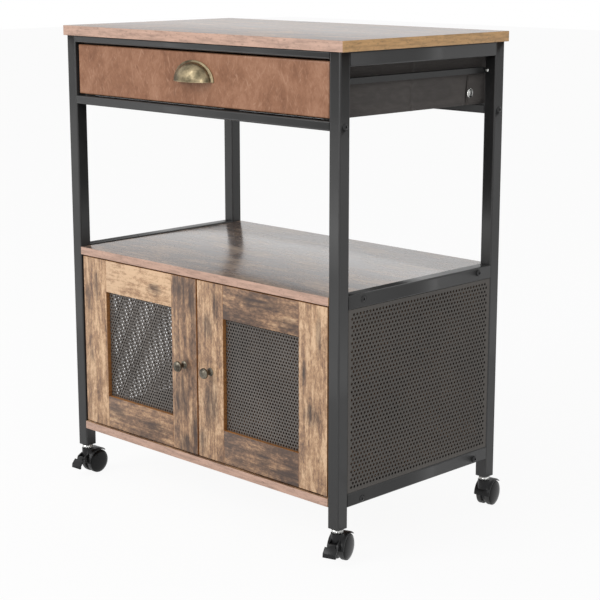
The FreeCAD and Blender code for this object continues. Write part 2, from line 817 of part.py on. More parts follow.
def add_ears(body):
    """Two ears on the hood's front that carry the brake lever's pin."""
    for start, backward in (("ear_start", False), ("-ear_start", True)):
        sketch = new_sketch(body, "XZ_Plane", start)
        add_outline(sketch, [
            ("-boss_round + ear_root", "boss_bottom"),
            ("-brake_reach - ear_lip / 2", "brake_rise + ear_lip"),
            ("-brake_reach - ear_lip", "brake_rise"),
            ("-brake_reach - ear_lip / 2", "brake_rise - ear_lip"),
            ("hood_middle_x", "brake_rise - 2 * ear_lip"),
        ])
        pad(body, sketch, "ear_thick", backward=backward)
    pin = ("-brake_reach", "brake_rise")
    drill(body, "XZ_Plane", [pin], "brake_pin + bore_fit", "2 * (ear_end + ear_thick)", both=True)


def make_brake(side, across):
    """A brake pedal: a barrel on a cross pin, and a blade that slopes down to a hooked tip."""
    body = new_body(f"brake_lever_{side}", f"{across} * stem_x", "-stem_y",
                    turn=f"heading_front_{side}")
    pin = ("-brake_reach", "brake_rise")
    sketch = new_sketch(body, "XZ_Plane")
    add_circle(sketch, pin, "brake_barrel")
    pad(body, sketch, "2 * brake_barrel_half", both=True)
    sketch = new_sketch(body, "XZ_Plane")
    add_circle(sketch, pin, "brake_pin")
    pad(body, sketch, "2 * ear_end", both=True)
    blade = [
        ("-brake_reach - knee_out", "brake_rise - knee_drop"),
        ("-brake_reach - bend_out", "brake_rise - bend_drop"),
        ("-brake_reach - tip_out", "brake_rise - tip_drop"),
        ("-brake_reach - tip_out + pedal_thick", "brake_rise - tip_drop"),
        ("-brake_reach - bend_out + pedal_thick", "brake_rise - bend_drop - pedal_thick / 2"),
        ("-brake_reach - knee_out + pedal_thick / 2", "brake_rise - knee_drop - pedal_thick"),
    ]
    sketch = new_sketch(body, "XZ_Plane")
    add_outline(sketch, [
        ("-brake_reach", "brake_rise + brake_barrel"),
        *blade,
        ("-brake_reach", "brake_rise - brake_barrel"),
    ])
    pad(body, sketch, "2 * brake_barrel_half", both=True)
    sketch = new_sketch(body, "XZ_Plane")
    add_outline(sketch, blade)
    pad(body, sketch, "pedal_width", both=True)


def make_wheel(end, side, along, across, which, flip):
    """One wheel of a twin caster: a tread, a domed outer cover and a blind bore for the axle."""
    heading = f"heading_{end}_{side}"
    body = new_body(f"wheel_{end}_{side}_{which}",
                    f"{across} * stem_x + caster_trail * cos({heading})",
                    f"{along} * stem_y + caster_trail * sin({heading})",
                    "wheel_round", turn=f"{heading} + {flip}")
    sketch = new_sketch(body, "XY_Plane")
    add_outline(sketch, [
        ("axle_round + bore_fit", "wheel_start"),
        ("wheel_round - wheel_edge", "wheel_start"),
        ("wheel_round", "wheel_start + wheel_edge"),
        ("wheel_round", "wheel_start + tread_width"),
        ("dome_shoulder", "wheel_start + tread_width + dome_shoulder_rise"),
        ("dome_round", "wheel_end - dome_fall"),
        ("0", "wheel_end"),
        ("0", "wheel_end - dome_wall"),
        ("axle_round + bore_fit", "wheel_end - dome_wall"),
    ])
    revolve(body, sketch)


# ---------------------------------------------------------------------------- build
make_top_board()
make_board("shelf_board", "shelf_foot", "shelf_middle", False)
make_board("bottom_board", "floor_foot", "floor_middle", True)
make_back_panel()
for side, across in SIDES:
    make_side_rail("top", "top_rail_foot", side, across)
    make_side_rail("mid", "mid_rail_foot", side, across, "shelf_middle")
    make_side_rail("low", "low_rail_foot", side, across, "floor_middle")
    make_sheet(side, across)
    make_runner(side, across)
    make_tongue(side, across)
    make_door(side, across)
    make_brake(side, across)
for end, along in ENDS:
    make_crossbar("crossbar", "bar_foot", "bar_height", end, along)
    make_crossbar("top_bar", "top_bar_foot", "top_bar_height", end, along)
for end, side, along, across in CASTERS:
    make_post(side, across, end, along)
    make_hood(end, side, along, across)
    make_wheel(end, side, along, across, "a", 0)
    make_wheel(end, side, along, across, "b", 180)
make_bolts()
make_drawer_front()
make_drawer_box()
make_snaps()
make_cup_pull()
make_hinge_pins()
make_door_catch()
make_plugs_and_stems()
doc.recompute()

for item in doc.Objects:
    if "Invalid" in item.State or "Error" in item.State:
        raise RuntimeError("%s failed: %s" % (item.Name, item.State))

pieces = [item for item in doc.Objects if item.isDerivedFrom("PartDesign::Body")]
pieces += [item for item in doc.Objects if item.Label.startswith("side_sheet") or item.Label == "cup_pull"]
for piece in pieces:
    if piece.Shape.isNull() or not piece.Shape.isValid():
        raise RuntimeError("%s has no valid shape" % piece.Label)

os.makedirs("parts", exist_ok=True)
for piece in pieces:
    piece.Shape.exportStep("parts/%s.step" % piece.Label)
print(len(pieces), "pieces written")
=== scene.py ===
# %% [markdown]
# # A rolling microwave cart
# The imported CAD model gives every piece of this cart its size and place.  Here each piece gets its
# finish, and what plain solids leave out is made: the fine perforation of the steel, eased board
# edges, the folded fabric drawer, turned knobs, domed wheels, screw heads and stitches.

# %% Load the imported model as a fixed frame
import json
import math

import bmesh
import bpy
from mathutils import Matrix, Vector

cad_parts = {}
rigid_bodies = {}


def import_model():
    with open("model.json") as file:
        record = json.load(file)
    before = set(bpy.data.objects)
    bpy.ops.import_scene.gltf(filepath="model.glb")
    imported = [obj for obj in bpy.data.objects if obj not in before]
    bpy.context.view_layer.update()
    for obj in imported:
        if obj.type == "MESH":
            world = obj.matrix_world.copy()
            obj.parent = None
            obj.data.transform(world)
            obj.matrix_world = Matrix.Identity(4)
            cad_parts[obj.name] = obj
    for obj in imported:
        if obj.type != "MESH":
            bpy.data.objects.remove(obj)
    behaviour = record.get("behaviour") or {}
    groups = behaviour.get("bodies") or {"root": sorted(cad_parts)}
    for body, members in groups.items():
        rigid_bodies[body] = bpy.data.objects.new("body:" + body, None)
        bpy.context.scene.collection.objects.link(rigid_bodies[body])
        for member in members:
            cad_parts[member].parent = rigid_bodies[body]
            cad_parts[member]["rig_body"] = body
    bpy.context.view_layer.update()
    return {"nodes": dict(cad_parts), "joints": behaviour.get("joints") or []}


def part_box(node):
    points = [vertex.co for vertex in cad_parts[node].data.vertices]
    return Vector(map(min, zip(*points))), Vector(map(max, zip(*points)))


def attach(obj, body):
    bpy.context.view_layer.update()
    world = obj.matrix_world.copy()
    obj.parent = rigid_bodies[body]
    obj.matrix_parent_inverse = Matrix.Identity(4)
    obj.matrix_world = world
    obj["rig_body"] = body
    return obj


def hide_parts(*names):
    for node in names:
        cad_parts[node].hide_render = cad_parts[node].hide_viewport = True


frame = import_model()
nodes = frame["nodes"]
MM = 0.001


def link(obj):
    """Put an object in the scene and give it back."""
    bpy.context.scene.collection.objects.link(obj)
    return obj


# %% [markdown]
# The camera stands off the cart's front right corner, higher than the top board, and looks
# slightly down.  It is about two and a half metres away, so the cart's lines hardly converge.  The
# lens is worked out in pixels of a 600 pixel picture and turned into millimetres.

# %% Camera
CAMERA_PLACE = (1.7484, -1.7224, 0.8428)
CAMERA_YAW = math.radians(44.69)
CAMERA_PITCH = math.radians(-12.35)
PICTURE_SIDE = 600
LENS_IN_PIXELS = 1628.8

lens = bpy.data.cameras.new("camera")
lens.sensor_width = 36.0
lens.lens = LENS_IN_PIXELS / PICTURE_SIDE * lens.sensor_width
lens.clip_end = 50.0
camera = link(bpy.data.objects.new("camera", lens))
camera.location = CAMERA_PLACE
camera.rotation_euler = (math.pi / 2 + CAMERA_PITCH, 0.0, CAMERA_YAW)
bpy.context.scene.camera = camera
print("lens", round(lens.lens, 2), "mm")


# %% [markdown]
# The studio is white all round.  The world lights the cart softly at a plain level, while the
# camera and mirror-like reflections see it as pure white.  That white gives the satin boards part
# of their pale glare when they are seen at a low angle; more glare is painted into the colour of
# the top and the shelf.

# %% World
WORLD_LEVEL = 0.5
WHITE = (1.0, 1.0, 1.0, 1.0)


def sums(tree, operation, first, second=0.0):
    """Arithmetic on two values, each a socket or a number."""
    node = tree.nodes.new("ShaderNodeMath")
    node.operation = operation
    for entry, value in ((0, first), (1, second)):
        if isinstance(value, bpy.types.NodeSocket):
            tree.links.new(value, node.inputs[entry])
        else:
            node.inputs[entry].default_value = value
    return node.outputs[0]


def seen_white(tree, camera_share=1.0):
    """1 for mirrored and refracted rays, a share for the camera's own, 0 for plain light."""
    ray = tree.nodes.new("ShaderNodeLightPath").outputs
    seen = sums(tree, "MULTIPLY", ray["Is Camera Ray"], camera_share)
    for kind in ("Is Glossy Ray", "Is Transmission Ray"):
        seen = sums(tree, "MAXIMUM", seen, ray[kind])
    return seen


def blend(tree, factor, first, second, output):
    """Mix two shader nodes by a factor and give the result to the output node."""
    node = tree.nodes.new("ShaderNodeMixShader")
    for entry, socket in enumerate((factor, first.outputs[0], second.outputs[0])):
        tree.links.new(socket, node.inputs[entry])
    tree.links.new(node.outputs[0], output.inputs["Surface"])


world = bpy.data.worlds.new("studio")
world.use_nodes = True
tree = world.node_tree
tree.nodes.clear()
lights = [tree.nodes.new("ShaderNodeBackground") for _ in range(2)]
for light, strength in zip(lights, (WORLD_LEVEL, 1.0)):
    light.inputs["Color"].default_value = WHITE
    light.inputs["Strength"].default_value = strength
blend(tree, seen_white(tree), *lights, tree.nodes.new("ShaderNodeOutputWorld"))
bpy.context.scene.world = world
bpy.context.scene.view_settings.view_transform = "Standard"
print("world level", WORLD_LEVEL)


# %% [markdown]
# Two soft boxes shape the cart.  A point or a spot lamp would draw hard shadows, so both are
# square area lamps: a large one high in front on the left, which gives the soft shadow, and a
# small one lower in front on the right, which lifts the corner post and draws thin lines on
# rounded edges.

# %% Lamps
def area_lamp(name, place, aim, size, power):
    """A soft square lamp that looks at a point."""
    lamp = bpy.data.lights.new(name, "AREA")
    lamp.shape = "SQUARE"
    lamp.size = size
    lamp.energy = power
    holder = link(bpy.data.objects.new(name, lamp))
    holder.location = place
    holder.rotation_euler = (Vector(aim) - Vector(place)).to_track_quat("-Z", "Y").to_euler()


area_lamp("front softbox", (-0.7, -2.6, 2.0), (0.0, 0.0, 0.35), 1.6, 46.0)
area_lamp("corner softbox", (1.5, -2.8, 1.2), (0.2, -0.1, 0.4), 0.5, 11.0)
print(len(bpy.data.lights), "lamps")


# %% [markdown]
# The floor is white paper that still takes the cart's shadow.  What the camera sees is mostly
# plain white, mixed with some of the paper's own lit surface, and the shadow lives in that part.

# %% Floor
FLOOR_REACH = 12.0
PAPER_WHITE = 0.93
PAPER_ROUGHNESS = 0.9
PAPER_SHEEN = 0.1
SHARE_SEEN_WHITE = 0.93

floor_mesh = bpy.data.meshes.new("floor")
floor_mesh.from_pydata([(x * FLOOR_REACH, y * FLOOR_REACH, 0.0)
                        for x, y in ((-1, -1), (1, -1), (1, 1), (-1, 1))], [], [(0, 1, 2, 3)])
floor = link(bpy.data.objects.new("floor", floor_mesh))
paper = bpy.data.materials.new("floor paper")
paper.use_nodes = True
tree = paper.node_tree
shader = tree.nodes["Principled BSDF"]
shader.inputs["Base Color"].default_value = (PAPER_WHITE, PAPER_WHITE, PAPER_WHITE, 1.0)
shader.inputs["Roughness"].default_value = PAPER_ROUGHNESS
shader.inputs["Specular IOR Level"].default_value = PAPER_SHEEN
white_paper = tree.nodes.new("ShaderNodeEmission")
white_paper.inputs["Strength"].default_value = 1.0
blend(tree, seen_white(tree, SHARE_SEEN_WHITE), shader, white_paper,
      tree.nodes["Material Output"])
floor_mesh.materials.append(paper)
print("floor", 2 * FLOOR_REACH, "m wide")


# %% [markdown]
# Materials read Object coordinates, so a pattern keeps its real size in metres and stays with its
# piece when that moves.  Colours are written as a screen shows them, from 0 to 255, and a helper
# turns them into the linear values that a shader wants.

# %% Material helpers
def screen(red, green, blue):
    """A screen colour, 0 to 255, as linear light."""
    return tuple(((part / 255 + 0.055) / 1.055) ** 2.4 if part > 10 else part / 3294
                 for part in (red, green, blue))


def times(color, factor):
    """A colour made lighter or darker."""
    return tuple(factor * part for part in color)


def new_material(name, color, roughness=0.5, metallic=0.0):
    """A fresh Principled material: returns the material, its tree and its shader."""
    material = bpy.data.materials.new(name)
    material.use_nodes = True
    shader = material.node_tree.nodes["Principled BSDF"]
    shader.inputs["Base Color"].default_value = (*color, 1.0)
    shader.inputs["Roughness"].default_value = roughness
    shader.inputs["Metallic"].default_value = metallic
    return material, material.node_tree, shader


def mapped(tree, scale=(1, 1, 1), turn=(0, 0, 0), shift=(0, 0, 0)):
    """Object coordinates through a Mapping node."""
    place = tree.nodes.new("ShaderNodeTexCoord")
    mapping = tree.nodes.new("ShaderNodeMapping")
    mapping.inputs["Scale"].default_value = scale
    mapping.inputs["Rotation"].default_value = turn
    mapping.inputs["Location"].default_value = shift
    tree.links.new(place.outputs["Object"], mapping.inputs["Vector"])
    return mapping.outputs["Vector"]


def stretched(tree, vector, scale):
    """Scale a vector that is already placed."""
    mapping = tree.nodes.new("ShaderNodeMapping")
    mapping.inputs["Scale"].default_value = scale
    tree.links.new(vector, mapping.inputs["Vector"])
    return mapping.outputs["Vector"]


def noise(tree, vector, scale=1.0, detail=3.0, rough=0.5, distortion=0.0):
    """A noise texture's value."""
    texture = tree.nodes.new("ShaderNodeTexNoise")
    texture.inputs["Scale"].default_value = scale
    texture.inputs["Detail"].default_value = detail
    texture.inputs["Roughness"].default_value = rough
    texture.inputs["Distortion"].default_value = distortion
    tree.links.new(vector, texture.inputs["Vector"])
    return texture.outputs["Fac"]


def ramp(tree, value, stops):
    """A colour ramp over stops of (position, colour)."""
    node = tree.nodes.new("ShaderNodeValToRGB")
    elements = node.color_ramp.elements
    while len(elements) < len(stops):
        elements.new(0.5)
    for element, (position, color) in zip(elements, stops):
        element.position = position
        element.color = (*color, 1.0)
    tree.links.new(value, node.inputs["Fac"])
    return node.outputs["Color"]


def level(tree, value, low, high, start=0.0, stop=1.0):
    """Map a value's range low..high to start..stop, clamped."""
    node = tree.nodes.new("ShaderNodeMapRange")
    ends = {"From Min": low, "From Max": high, "To Min": start, "To Max": stop}
    for name, number in ends.items():
        node.inputs[name].default_value = number
    tree.links.new(value, node.inputs["Value"])
    return node.outputs["Result"]


def mix(tree, factor, first, second, mode="MIX"):
    """Mix two colours, each a socket or a plain colour, by a socket or number."""
    node = tree.nodes.new("ShaderNodeMix")
    node.data_type = "RGBA"
    node.blend_type = mode
    for entry, value in ((0, factor), (6, first), (7, second)):
        if isinstance(value, bpy.types.NodeSocket):
            tree.links.new(value, node.inputs[entry])
        elif entry == 0:
            node.inputs[entry].default_value = value
        else:
            node.inputs[entry].default_value = (*value, 1.0)
    return node.outputs[2]


def add_bump(tree, shader, height, strength, distance):
    """Let a height socket raise and sink the surface's look."""
    node = tree.nodes.new("ShaderNodeBump")
    node.inputs["Strength"].default_value = strength
    node.inputs["Distance"].default_value = distance
    tree.links.new(height, node.inputs["Height"])
    tree.links.new(node.outputs["Normal"], shader.inputs["Normal"])


# %% [markdown]
# Rustic board.  The real boards are chipboard under a printed paper: a tan ground with long
# fibres, cloudy dark smudges that follow the grain, knots, and short almost black splits.  An
# image of wood would repeat from board to board, so noises stretched along the grain make the
# print instead: wide clouds for its tone, streaks for its fibres and a fine mottle.  Each member
# has its own shift, and a few knots are set where this cart shows dark patches.

# %% Wood colours and sizes
ALONG = {"x": (0.0, 0.0, 0.0), "z": (0.0, math.pi / 2, 0.0)}
CLOUDS = (12, 26, 26)
STREAKS = (12, 150, 150)
MOTTLE = (130, 260, 260)
PATCHES = (26, 46, 46)
SPLITS = (42, 430, 430)
PRINT_TONES = [(0.28, screen(84, 65, 54)), (0.42, screen(130, 101, 80)),
               (0.54, screen(174, 138, 106)), (0.68, screen(216, 182, 147))]
SMUDGE = screen(64, 51, 46)
SPLIT = screen(46, 37, 34)
# pale bluish grey of a painted glare, laid over the print of the coated boards
PAINTED_GLARE_HAZE = screen(184, 184, 190)
print(len(PRINT_TONES), "print tones, grain along", *ALONG)


# %% [markdown]
# A knot is a dark patch whose edge is torn along the fibres.  Its distance from one point, in
# units of its own half length and half width, is a smooth egg.  Adding a noise that is stretched
# along the grain before the edge is cut makes it ragged.

# %% Knots
FIBRES = {"x": (38, 170, 170), "z": (170, 170, 38)}
RAGGED = 2.6
KNOT_CORE, KNOT_END = 1.65, 2.35


def knot(tree, grain, x, z, long_half, wide_half):
    """A dark patch about one point of a front face, longer along the grain: 1 in, 0 out."""
    along_x, along_z = (wide_half, long_half) if grain == "z" else (long_half, wide_half)
    scale = (1 / along_x, 0.0, 1 / along_z)
    centred = mapped(tree, scale, shift=(-x / along_x, 0.0, -z / along_z))
    length = tree.nodes.new("ShaderNodeVectorMath")
    length.operation = "LENGTH"
    tree.links.new(centred, length.inputs[0])
    ragged = noise(tree, mapped(tree, FIBRES[grain]), 1.0, 7.0, 0.8)
    edge = sums(tree, "ADD", length.outputs["Value"], sums(tree, "MULTIPLY", ragged, RAGGED))
    return level(tree, edge, KNOT_CORE, KNOT_END, 1.0, 0.0)


def weighted(tree, *pairs):
    """The sum of values, each times its own weight."""
    total = 0.0
    for value, weight in pairs:
        total = sums(tree, "ADD", sums(tree, "MULTIPLY", value, weight), total)
    return total


# %% Wood print
COAT_ROUGHNESS = 0.16


def wood(name, grain, shift, light=0.0, smudge=0.56, roughness=0.42, knots=(), coat=0.0,
         tint=(1, 1, 1), veil=0.0):
    """Printed wood with its grain along one axis; light moves its tone, and a bluish tint and a pale
    veil paint a glare into its colour.
    """
    material, tree, shader = new_material(name, screen(178, 143, 112), roughness)
    place = mapped(tree, turn=ALONG[grain], shift=shift)
    clouds = noise(tree, stretched(tree, place, CLOUDS), 1.0, 6.0, 0.66, 0.4)
    streaks = noise(tree, stretched(tree, place, STREAKS), 1.0, 5.0, 0.65, 0.3)
    mottle = noise(tree, stretched(tree, place, MOTTLE), 1.0, 6.0, 0.8)
    patches = noise(tree, stretched(tree, place, PATCHES), 1.0, 8.0, 0.78, 0.5)
    splits = noise(tree, stretched(tree, place, SPLITS), 1.0, 3.0, 0.7)

    tone = weighted(tree, (clouds, 0.85), (streaks, 0.6), (mottle, 0.75))
    color = ramp(tree, sums(tree, "ADD", tone, light - 0.62), PRINT_TONES)
    dark = level(tree, patches, smudge, smudge + 0.08, 0.0, 0.9)
    for x, z, long_half, wide_half in knots:
        spot = knot(tree, grain, x * MM, z * MM, long_half * MM, wide_half * MM)
        dark = sums(tree, "MAXIMUM", dark, spot)
    torn = sums(tree, "MULTIPLY", dark, level(tree, streaks, 0.36, 0.62, 1.0, 0.45))
    color = mix(tree, sums(tree, "MULTIPLY", torn, 0.92), color, SMUDGE)
    color = mix(tree, level(tree, splits, 0.67, 0.74, 0.0, 0.7), color, SPLIT)
    # painted glare: a bluish tint and a pale veil over the print stand in for the coat's glare
    if tint != (1, 1, 1):
        color = mix(tree, 1.0, color, tint, "MULTIPLY")
    if veil:
        color = mix(tree, veil, color, PAINTED_GLARE_HAZE)
    tree.links.new(color, shader.inputs["Base Color"])
    tree.links.new(level(tree, clouds, 0.3, 0.7, roughness - 0.05, roughness + 0.07),
                   shader.inputs["Roughness"])
    if coat:
        shader.inputs["Coat Weight"].default_value = coat
        shader.inputs["Coat Roughness"].default_value = COAT_ROUGHNESS
    add_bump(tree, shader, streaks, 0.06 if coat else 0.2, 0.0003)
    return material


# %% [markdown]
# The sawn edges are covered by a glued strip with a print of its own: fine specks and short
# streaks.  Two tight noises draw them, pressed flat so that they lie along a level strip, and each
# kind of edge has its own tone.  The side ends are painted lighter and more golden, as light on lit
# faces, and the door edges darker, as painted shade.

# %% Edge strip
STRIP_SPECKS = (150, 150, 330)
STRIP_STREAKS = (30, 30, 240)


def edge_strip(name, color, shift):
    """The glued edge strip of a board: a finely speckled print."""
    material, tree, shader = new_material(name, color, 0.5)
    specks = noise(tree, mapped(tree, STRIP_SPECKS, shift=shift), 1.0, 4.0, 0.7)
    streaks = noise(tree, mapped(tree, STRIP_STREAKS, shift=shift), 1.0, 4.0, 0.65)
    shade = ramp(tree, streaks, [
        (0.34, times(color, 0.72)),
        (0.52, color),
        (0.70, times(color, 1.15)),
    ])
    shade = mix(tree, level(tree, specks, 0.55, 0.7, 0.0, 0.7), shade, times(color, 0.42))
    tree.links.new(shade, shader.inputs["Base Color"])
    add_bump(tree, shader, specks, 0.15, 0.0002)
    return material


# %% [markdown]
# Powder coat is a satin paint, baked on the tubes and sheets, with a very fine orange-peel skin.
# A tight noise in the bump gives the peel, and a wide one changes the shade and the gloss a
# little, so that long tubes don't look like flat grey paper.

# %% Powder coat
PEEL_SCALE = 850.0
DRIFT_SCALE = 12.0


def powder_coat(name, color, roughness=0.42, specular=0.4):
    """Baked satin paint with an orange-peel skin."""
    material, tree, shader = new_material(name, color, roughness)
    shader.inputs["Specular IOR Level"].default_value = specular
    peel = noise(tree, mapped(tree), PEEL_SCALE, 2.0)
    drift = noise(tree, mapped(tree), DRIFT_SCALE, 3.0)
    shade = mix(tree, level(tree, drift, 0.35, 0.65), times(color, 0.88), times(color, 1.12))
    tree.links.new(shade, shader.inputs["Base Color"])
    tree.links.new(level(tree, drift, 0.3, 0.7, roughness - 0.04, roughness + 0.05),
                   shader.inputs["Roughness"])
    add_bump(tree, shader, peel, 0.14, 0.0002)
    return material


# %% [markdown]
# The pull, the knobs and the bright screws are metal.  A plain metallic shader looks like chrome,
# so a cloudy patina darkens them, Geometry's Pointiness brightens their sharp edges, partly as wear
# where hands rub them and partly as a painted highlight, and a fine grain breaks up the
# reflections.  The casters and plugs are moulded plastic: nearly black, with a low reflection,
# faint scuffs and a mould texture.

# %% Metal
METAL_GRAIN = 900.0


def worn_metal(name, color, dark, roughness=0.3, patina_size=110.0):
    """Cast metal with an antique finish: dark in its pores, and bright on its sharp edges, partly as
    rubbed wear and partly as a painted highlight.
    """
    material, tree, shader = new_material(name, color, roughness, 1.0)
    patina = noise(tree, mapped(tree), patina_size, 5.0, 0.6)
    grain = noise(tree, mapped(tree), METAL_GRAIN, 2.0)
    geometry = tree.nodes.new("ShaderNodeNewGeometry")
    # Pointiness lightens sharp edges: wear where hands rub them, and a painted highlight
    rubbed_wear_and_painted_highlight = level(tree, geometry.outputs["Pointiness"], 0.5, 0.56, 0.0, 0.35)
    value = sums(tree, "ADD", level(tree, patina, 0.3, 0.7), rubbed_wear_and_painted_highlight)
    shade = ramp(tree, value, [(0.15, dark), (0.75, color), (1.0, times(color, 1.25))])
    tree.links.new(shade, shader.inputs["Base Color"])
    tree.links.new(level(tree, patina, 0.3, 0.7, roughness + 0.1, roughness - 0.05),
                   shader.inputs["Roughness"])
    add_bump(tree, shader, grain, 0.12, 0.0002)
    return material


# %% Nylon
MOULD_TEXTURE = 1500.0
SCUFF_SCALE = 70.0


def moulded(name, color, roughness=0.35, specular=0.5):
    """Moulded nylon: dark and smooth, with a faint mould texture and light scuffs."""
    material, tree, shader = new_material(name, color, roughness)
    shader.inputs["Specular IOR Level"].default_value = specular
    texture = noise(tree, mapped(tree), MOULD_TEXTURE, 2.0)
    scuffs = noise(tree, mapped(tree), SCUFF_SCALE, 4.0, 0.7)
    tree.links.new(level(tree, scuffs, 0.35, 0.75, roughness - 0.04, roughness + 0.12),
                   shader.inputs["Roughness"])
    shade = mix(tree, level(tree, scuffs, 0.45, 0.8, 0.0, 0.6), color, times(color, 1.8))
    tree.links.new(shade, shader.inputs["Base Color"])
    add_bump(tree, shader, texture, 0.04, 0.00015)
    return material


# %% [markdown]
# Leather-look skin.  The sheet on the drawer front is brushed: a fine pebbled grain, cloudy
# changes from red-brown to tan, and short pale scuffs that mostly run upwards.  Voronoi cells give
# the pebbles, and three noises pulled long in slightly different directions give the scuffs.

# %% Leather
PEBBLES = 820.0
HIDE_TONES = [(0.38, screen(120, 79, 55)), (0.50, screen(139, 96, 70)),
              (0.62, screen(156, 113, 87))]
SCUFFED = screen(182, 142, 116)
SCUFF_LEANS = ((0.5, 0.0), (-0.55, 3.7), (0.05, 8.1))
SCUFF_STRETCH = (320, 320, 62)


def leather(name):
    """Brushed leather-look sheet for a front face."""
    material, tree, shader = new_material(name, screen(160, 113, 86), 0.46)
    shader.inputs["Specular IOR Level"].default_value = 0.35
    cells = tree.nodes.new("ShaderNodeTexVoronoi")
    cells.feature = "SMOOTH_F1"
    cells.inputs["Scale"].default_value = PEBBLES
    tree.links.new(mapped(tree), cells.inputs["Vector"])
    clouds = noise(tree, mapped(tree, (22, 22, 16)), 1.0, 5.0, 0.6, 0.6)
    mottle = noise(tree, mapped(tree, (150, 150, 110)), 1.0, 5.0, 0.7, 0.5)
    value = weighted(tree, (clouds, 0.62), (mottle, 0.38))
    color = ramp(tree, value, HIDE_TONES)
    for lean, shift in SCUFF_LEANS:
        leaning = mapped(tree, turn=(0, lean, 0), shift=(shift, 0, 0))
        scuff = noise(tree, stretched(tree, leaning, SCUFF_STRETCH), 1.0, 2.0, 0.5, 0.8)
        color = mix(tree, level(tree, scuff, 0.6, 0.76, 0.0, 0.45), color, SCUFFED)
    tree.links.new(color, shader.inputs["Base Color"])
    tree.links.new(level(tree, clouds, 0.3, 0.7, 0.54, 0.42), shader.inputs["Roughness"])
    add_bump(tree, shader, cells.outputs["Distance"], 0.25, 0.0004)
    return material


# %% [markdown]
# The drawer's box is sewn from a dark plain-woven cloth.  A wave texture along each axis gives one
# set of threads.  The level ones, X and Y, are added and then multiplied by the upright one, so
# the walls show threads that cross, whichever way they face.  Slubs and a faint wash keep the
# cloth from looking printed, and a little sheen lifts it where it is seen at a low angle.

# %% Fabric
CLOTH_ROUGHNESS = 0.85
CLOTH_SHEEN = 0.15
SHEEN_ROUGHNESS = 0.5


def woven(name, color, threads=1300.0):
    """Plain-woven fabric: crossed waves of threads with slubs; more threads make it finer."""
    material, tree, shader = new_material(name, color, CLOTH_ROUGHNESS)
    shader.inputs["Sheen Weight"].default_value = CLOTH_SHEEN
    shader.inputs["Sheen Roughness"].default_value = SHEEN_ROUGHNESS
    waves = []
    for direction in ("X", "Y", "Z"):
        wave = tree.nodes.new("ShaderNodeTexWave")
        wave.bands_direction = direction
        wave.inputs["Scale"].default_value = threads / (2 * math.pi)
        wave.inputs["Distortion"].default_value = 0.6
        wave.inputs["Detail Scale"].default_value = 3.0
        tree.links.new(mapped(tree), wave.inputs["Vector"])
        waves.append(wave.outputs["Fac"])
    weave = sums(tree, "MULTIPLY", sums(tree, "ADD", waves[0], waves[1]), waves[2])
    slubs = noise(tree, mapped(tree, (60, 60, 260)), 1.0, 4.0, 0.6)
    wash = noise(tree, mapped(tree), 9.0, 3.0, 0.5)
    shade = mix(tree, level(tree, slubs, 0.3, 0.7), times(color, 0.75), times(color, 1.3))
    shade = mix(tree, level(tree, wash, 0.35, 0.7, 0.0, 0.5), shade, times(color, 1.5))
    tree.links.new(mix(tree, level(tree, weave, 0.0, 0.8), times(color, 0.6), shade),
                   shader.inputs["Base Color"])
    add_bump(tree, shader, weave, 0.5, 0.0004)
    return material


# %% [markdown]
# Now each finish of the cart is made once, by its own name.  The frame, the runners, the side
# sheets and the door meshes are all powder-coated, but each in its own shade.  The top and the
# shelf have a clear coat, which gives them their glare, and a bluish tint and a pale veil paint
# more glare into their colour.  The raw core is for the drawer's front board, which is bare where
# the leather-look skin doesn't cover it.

# %% The cart's finishes
frame_paint = powder_coat("charcoal powder coat", screen(52, 52, 52), 0.35)
runner_paint = powder_coat("runner powder coat", screen(32, 32, 32), 0.36)
sheet_paint = powder_coat("sheet powder coat", screen(88, 84, 80), 0.5, 0.3)
mesh_paint = powder_coat("mesh powder coat", screen(98, 93, 89), 0.5, 0.3)
bolt_paint = powder_coat("blackened bolt", screen(30, 30, 31), 0.32)
bright_steel = worn_metal("bright steel", screen(205, 205, 202), screen(150, 150, 148), 0.2)
brass = worn_metal("antique brass", screen(160, 145, 116), screen(92, 84, 66), 0.32, 60.0)
pewter = worn_metal("aged pewter", screen(118, 112, 100), screen(56, 52, 47), 0.34)
hood_nylon = moulded("hood nylon", screen(24, 24, 25), 0.3, 0.25)
tread_nylon = moulded("tread nylon", screen(44, 44, 44), 0.5)
dome_nylon = moulded("dome nylon", screen(11, 11, 12), 0.14, 0.2)
plug_plastic = moulded("plug plastic", screen(38, 38, 38), 0.5)
hide = leather("red-brown leather look")
cloth = woven("dark box fabric", screen(84, 79, 76))
thread = woven("stitching thread", screen(88, 83, 78), 2600.0)
# the top and the shelf get a painted glare: a bluish tint and a pale veil over their print
top_print = wood("top board print", "x", (0.13, 0.4, 0.2), -0.02, 0.7, 0.34, coat=0.28,
                 tint=(0.86, 0.9, 0.98), veil=0.24)
shelf_print = wood("shelf board print", "x", (0.7, 0.15, 0.5), -0.05, 0.56, 0.26, coat=0.5,
                   tint=(0.76, 0.82, 0.92), veil=0.07)
floor_print = wood("bottom board print", "x", (1.3, 0.55, 0.1), 0.0, 0.56, 0.36)
back_print = wood("back panel print", "x", (0.2, 1.4, 0.8), 0.0, 0.56, 0.45)
core_board = edge_strip("raw core board", screen(150, 118, 84), (0.4, 0.1, 0.3))
front_strip = edge_strip("front edge strip", screen(189, 155, 137), (0, 0, 0))
# painted light: the side ends are lighter and more golden than the front, as lit faces
painted_lit_side_strip = edge_strip("side edge strip", screen(212, 168, 116), (0.2, 0.1, 0))
# painted shade: the door edges and window edges are darker orange-brown, as shaded faces
painted_shade_window_strip = edge_strip("window edge strip", screen(160, 108, 60), (0.1, 0.3, 0))
print(len(bpy.data.materials), "materials")


# %% [markdown]
# A finished piece has to say two things: the CAD body that it moves with and the CAD node that it
# stands for.  Its object stays at the origin.

# %% Piece helpers
MERGE = 1e-6


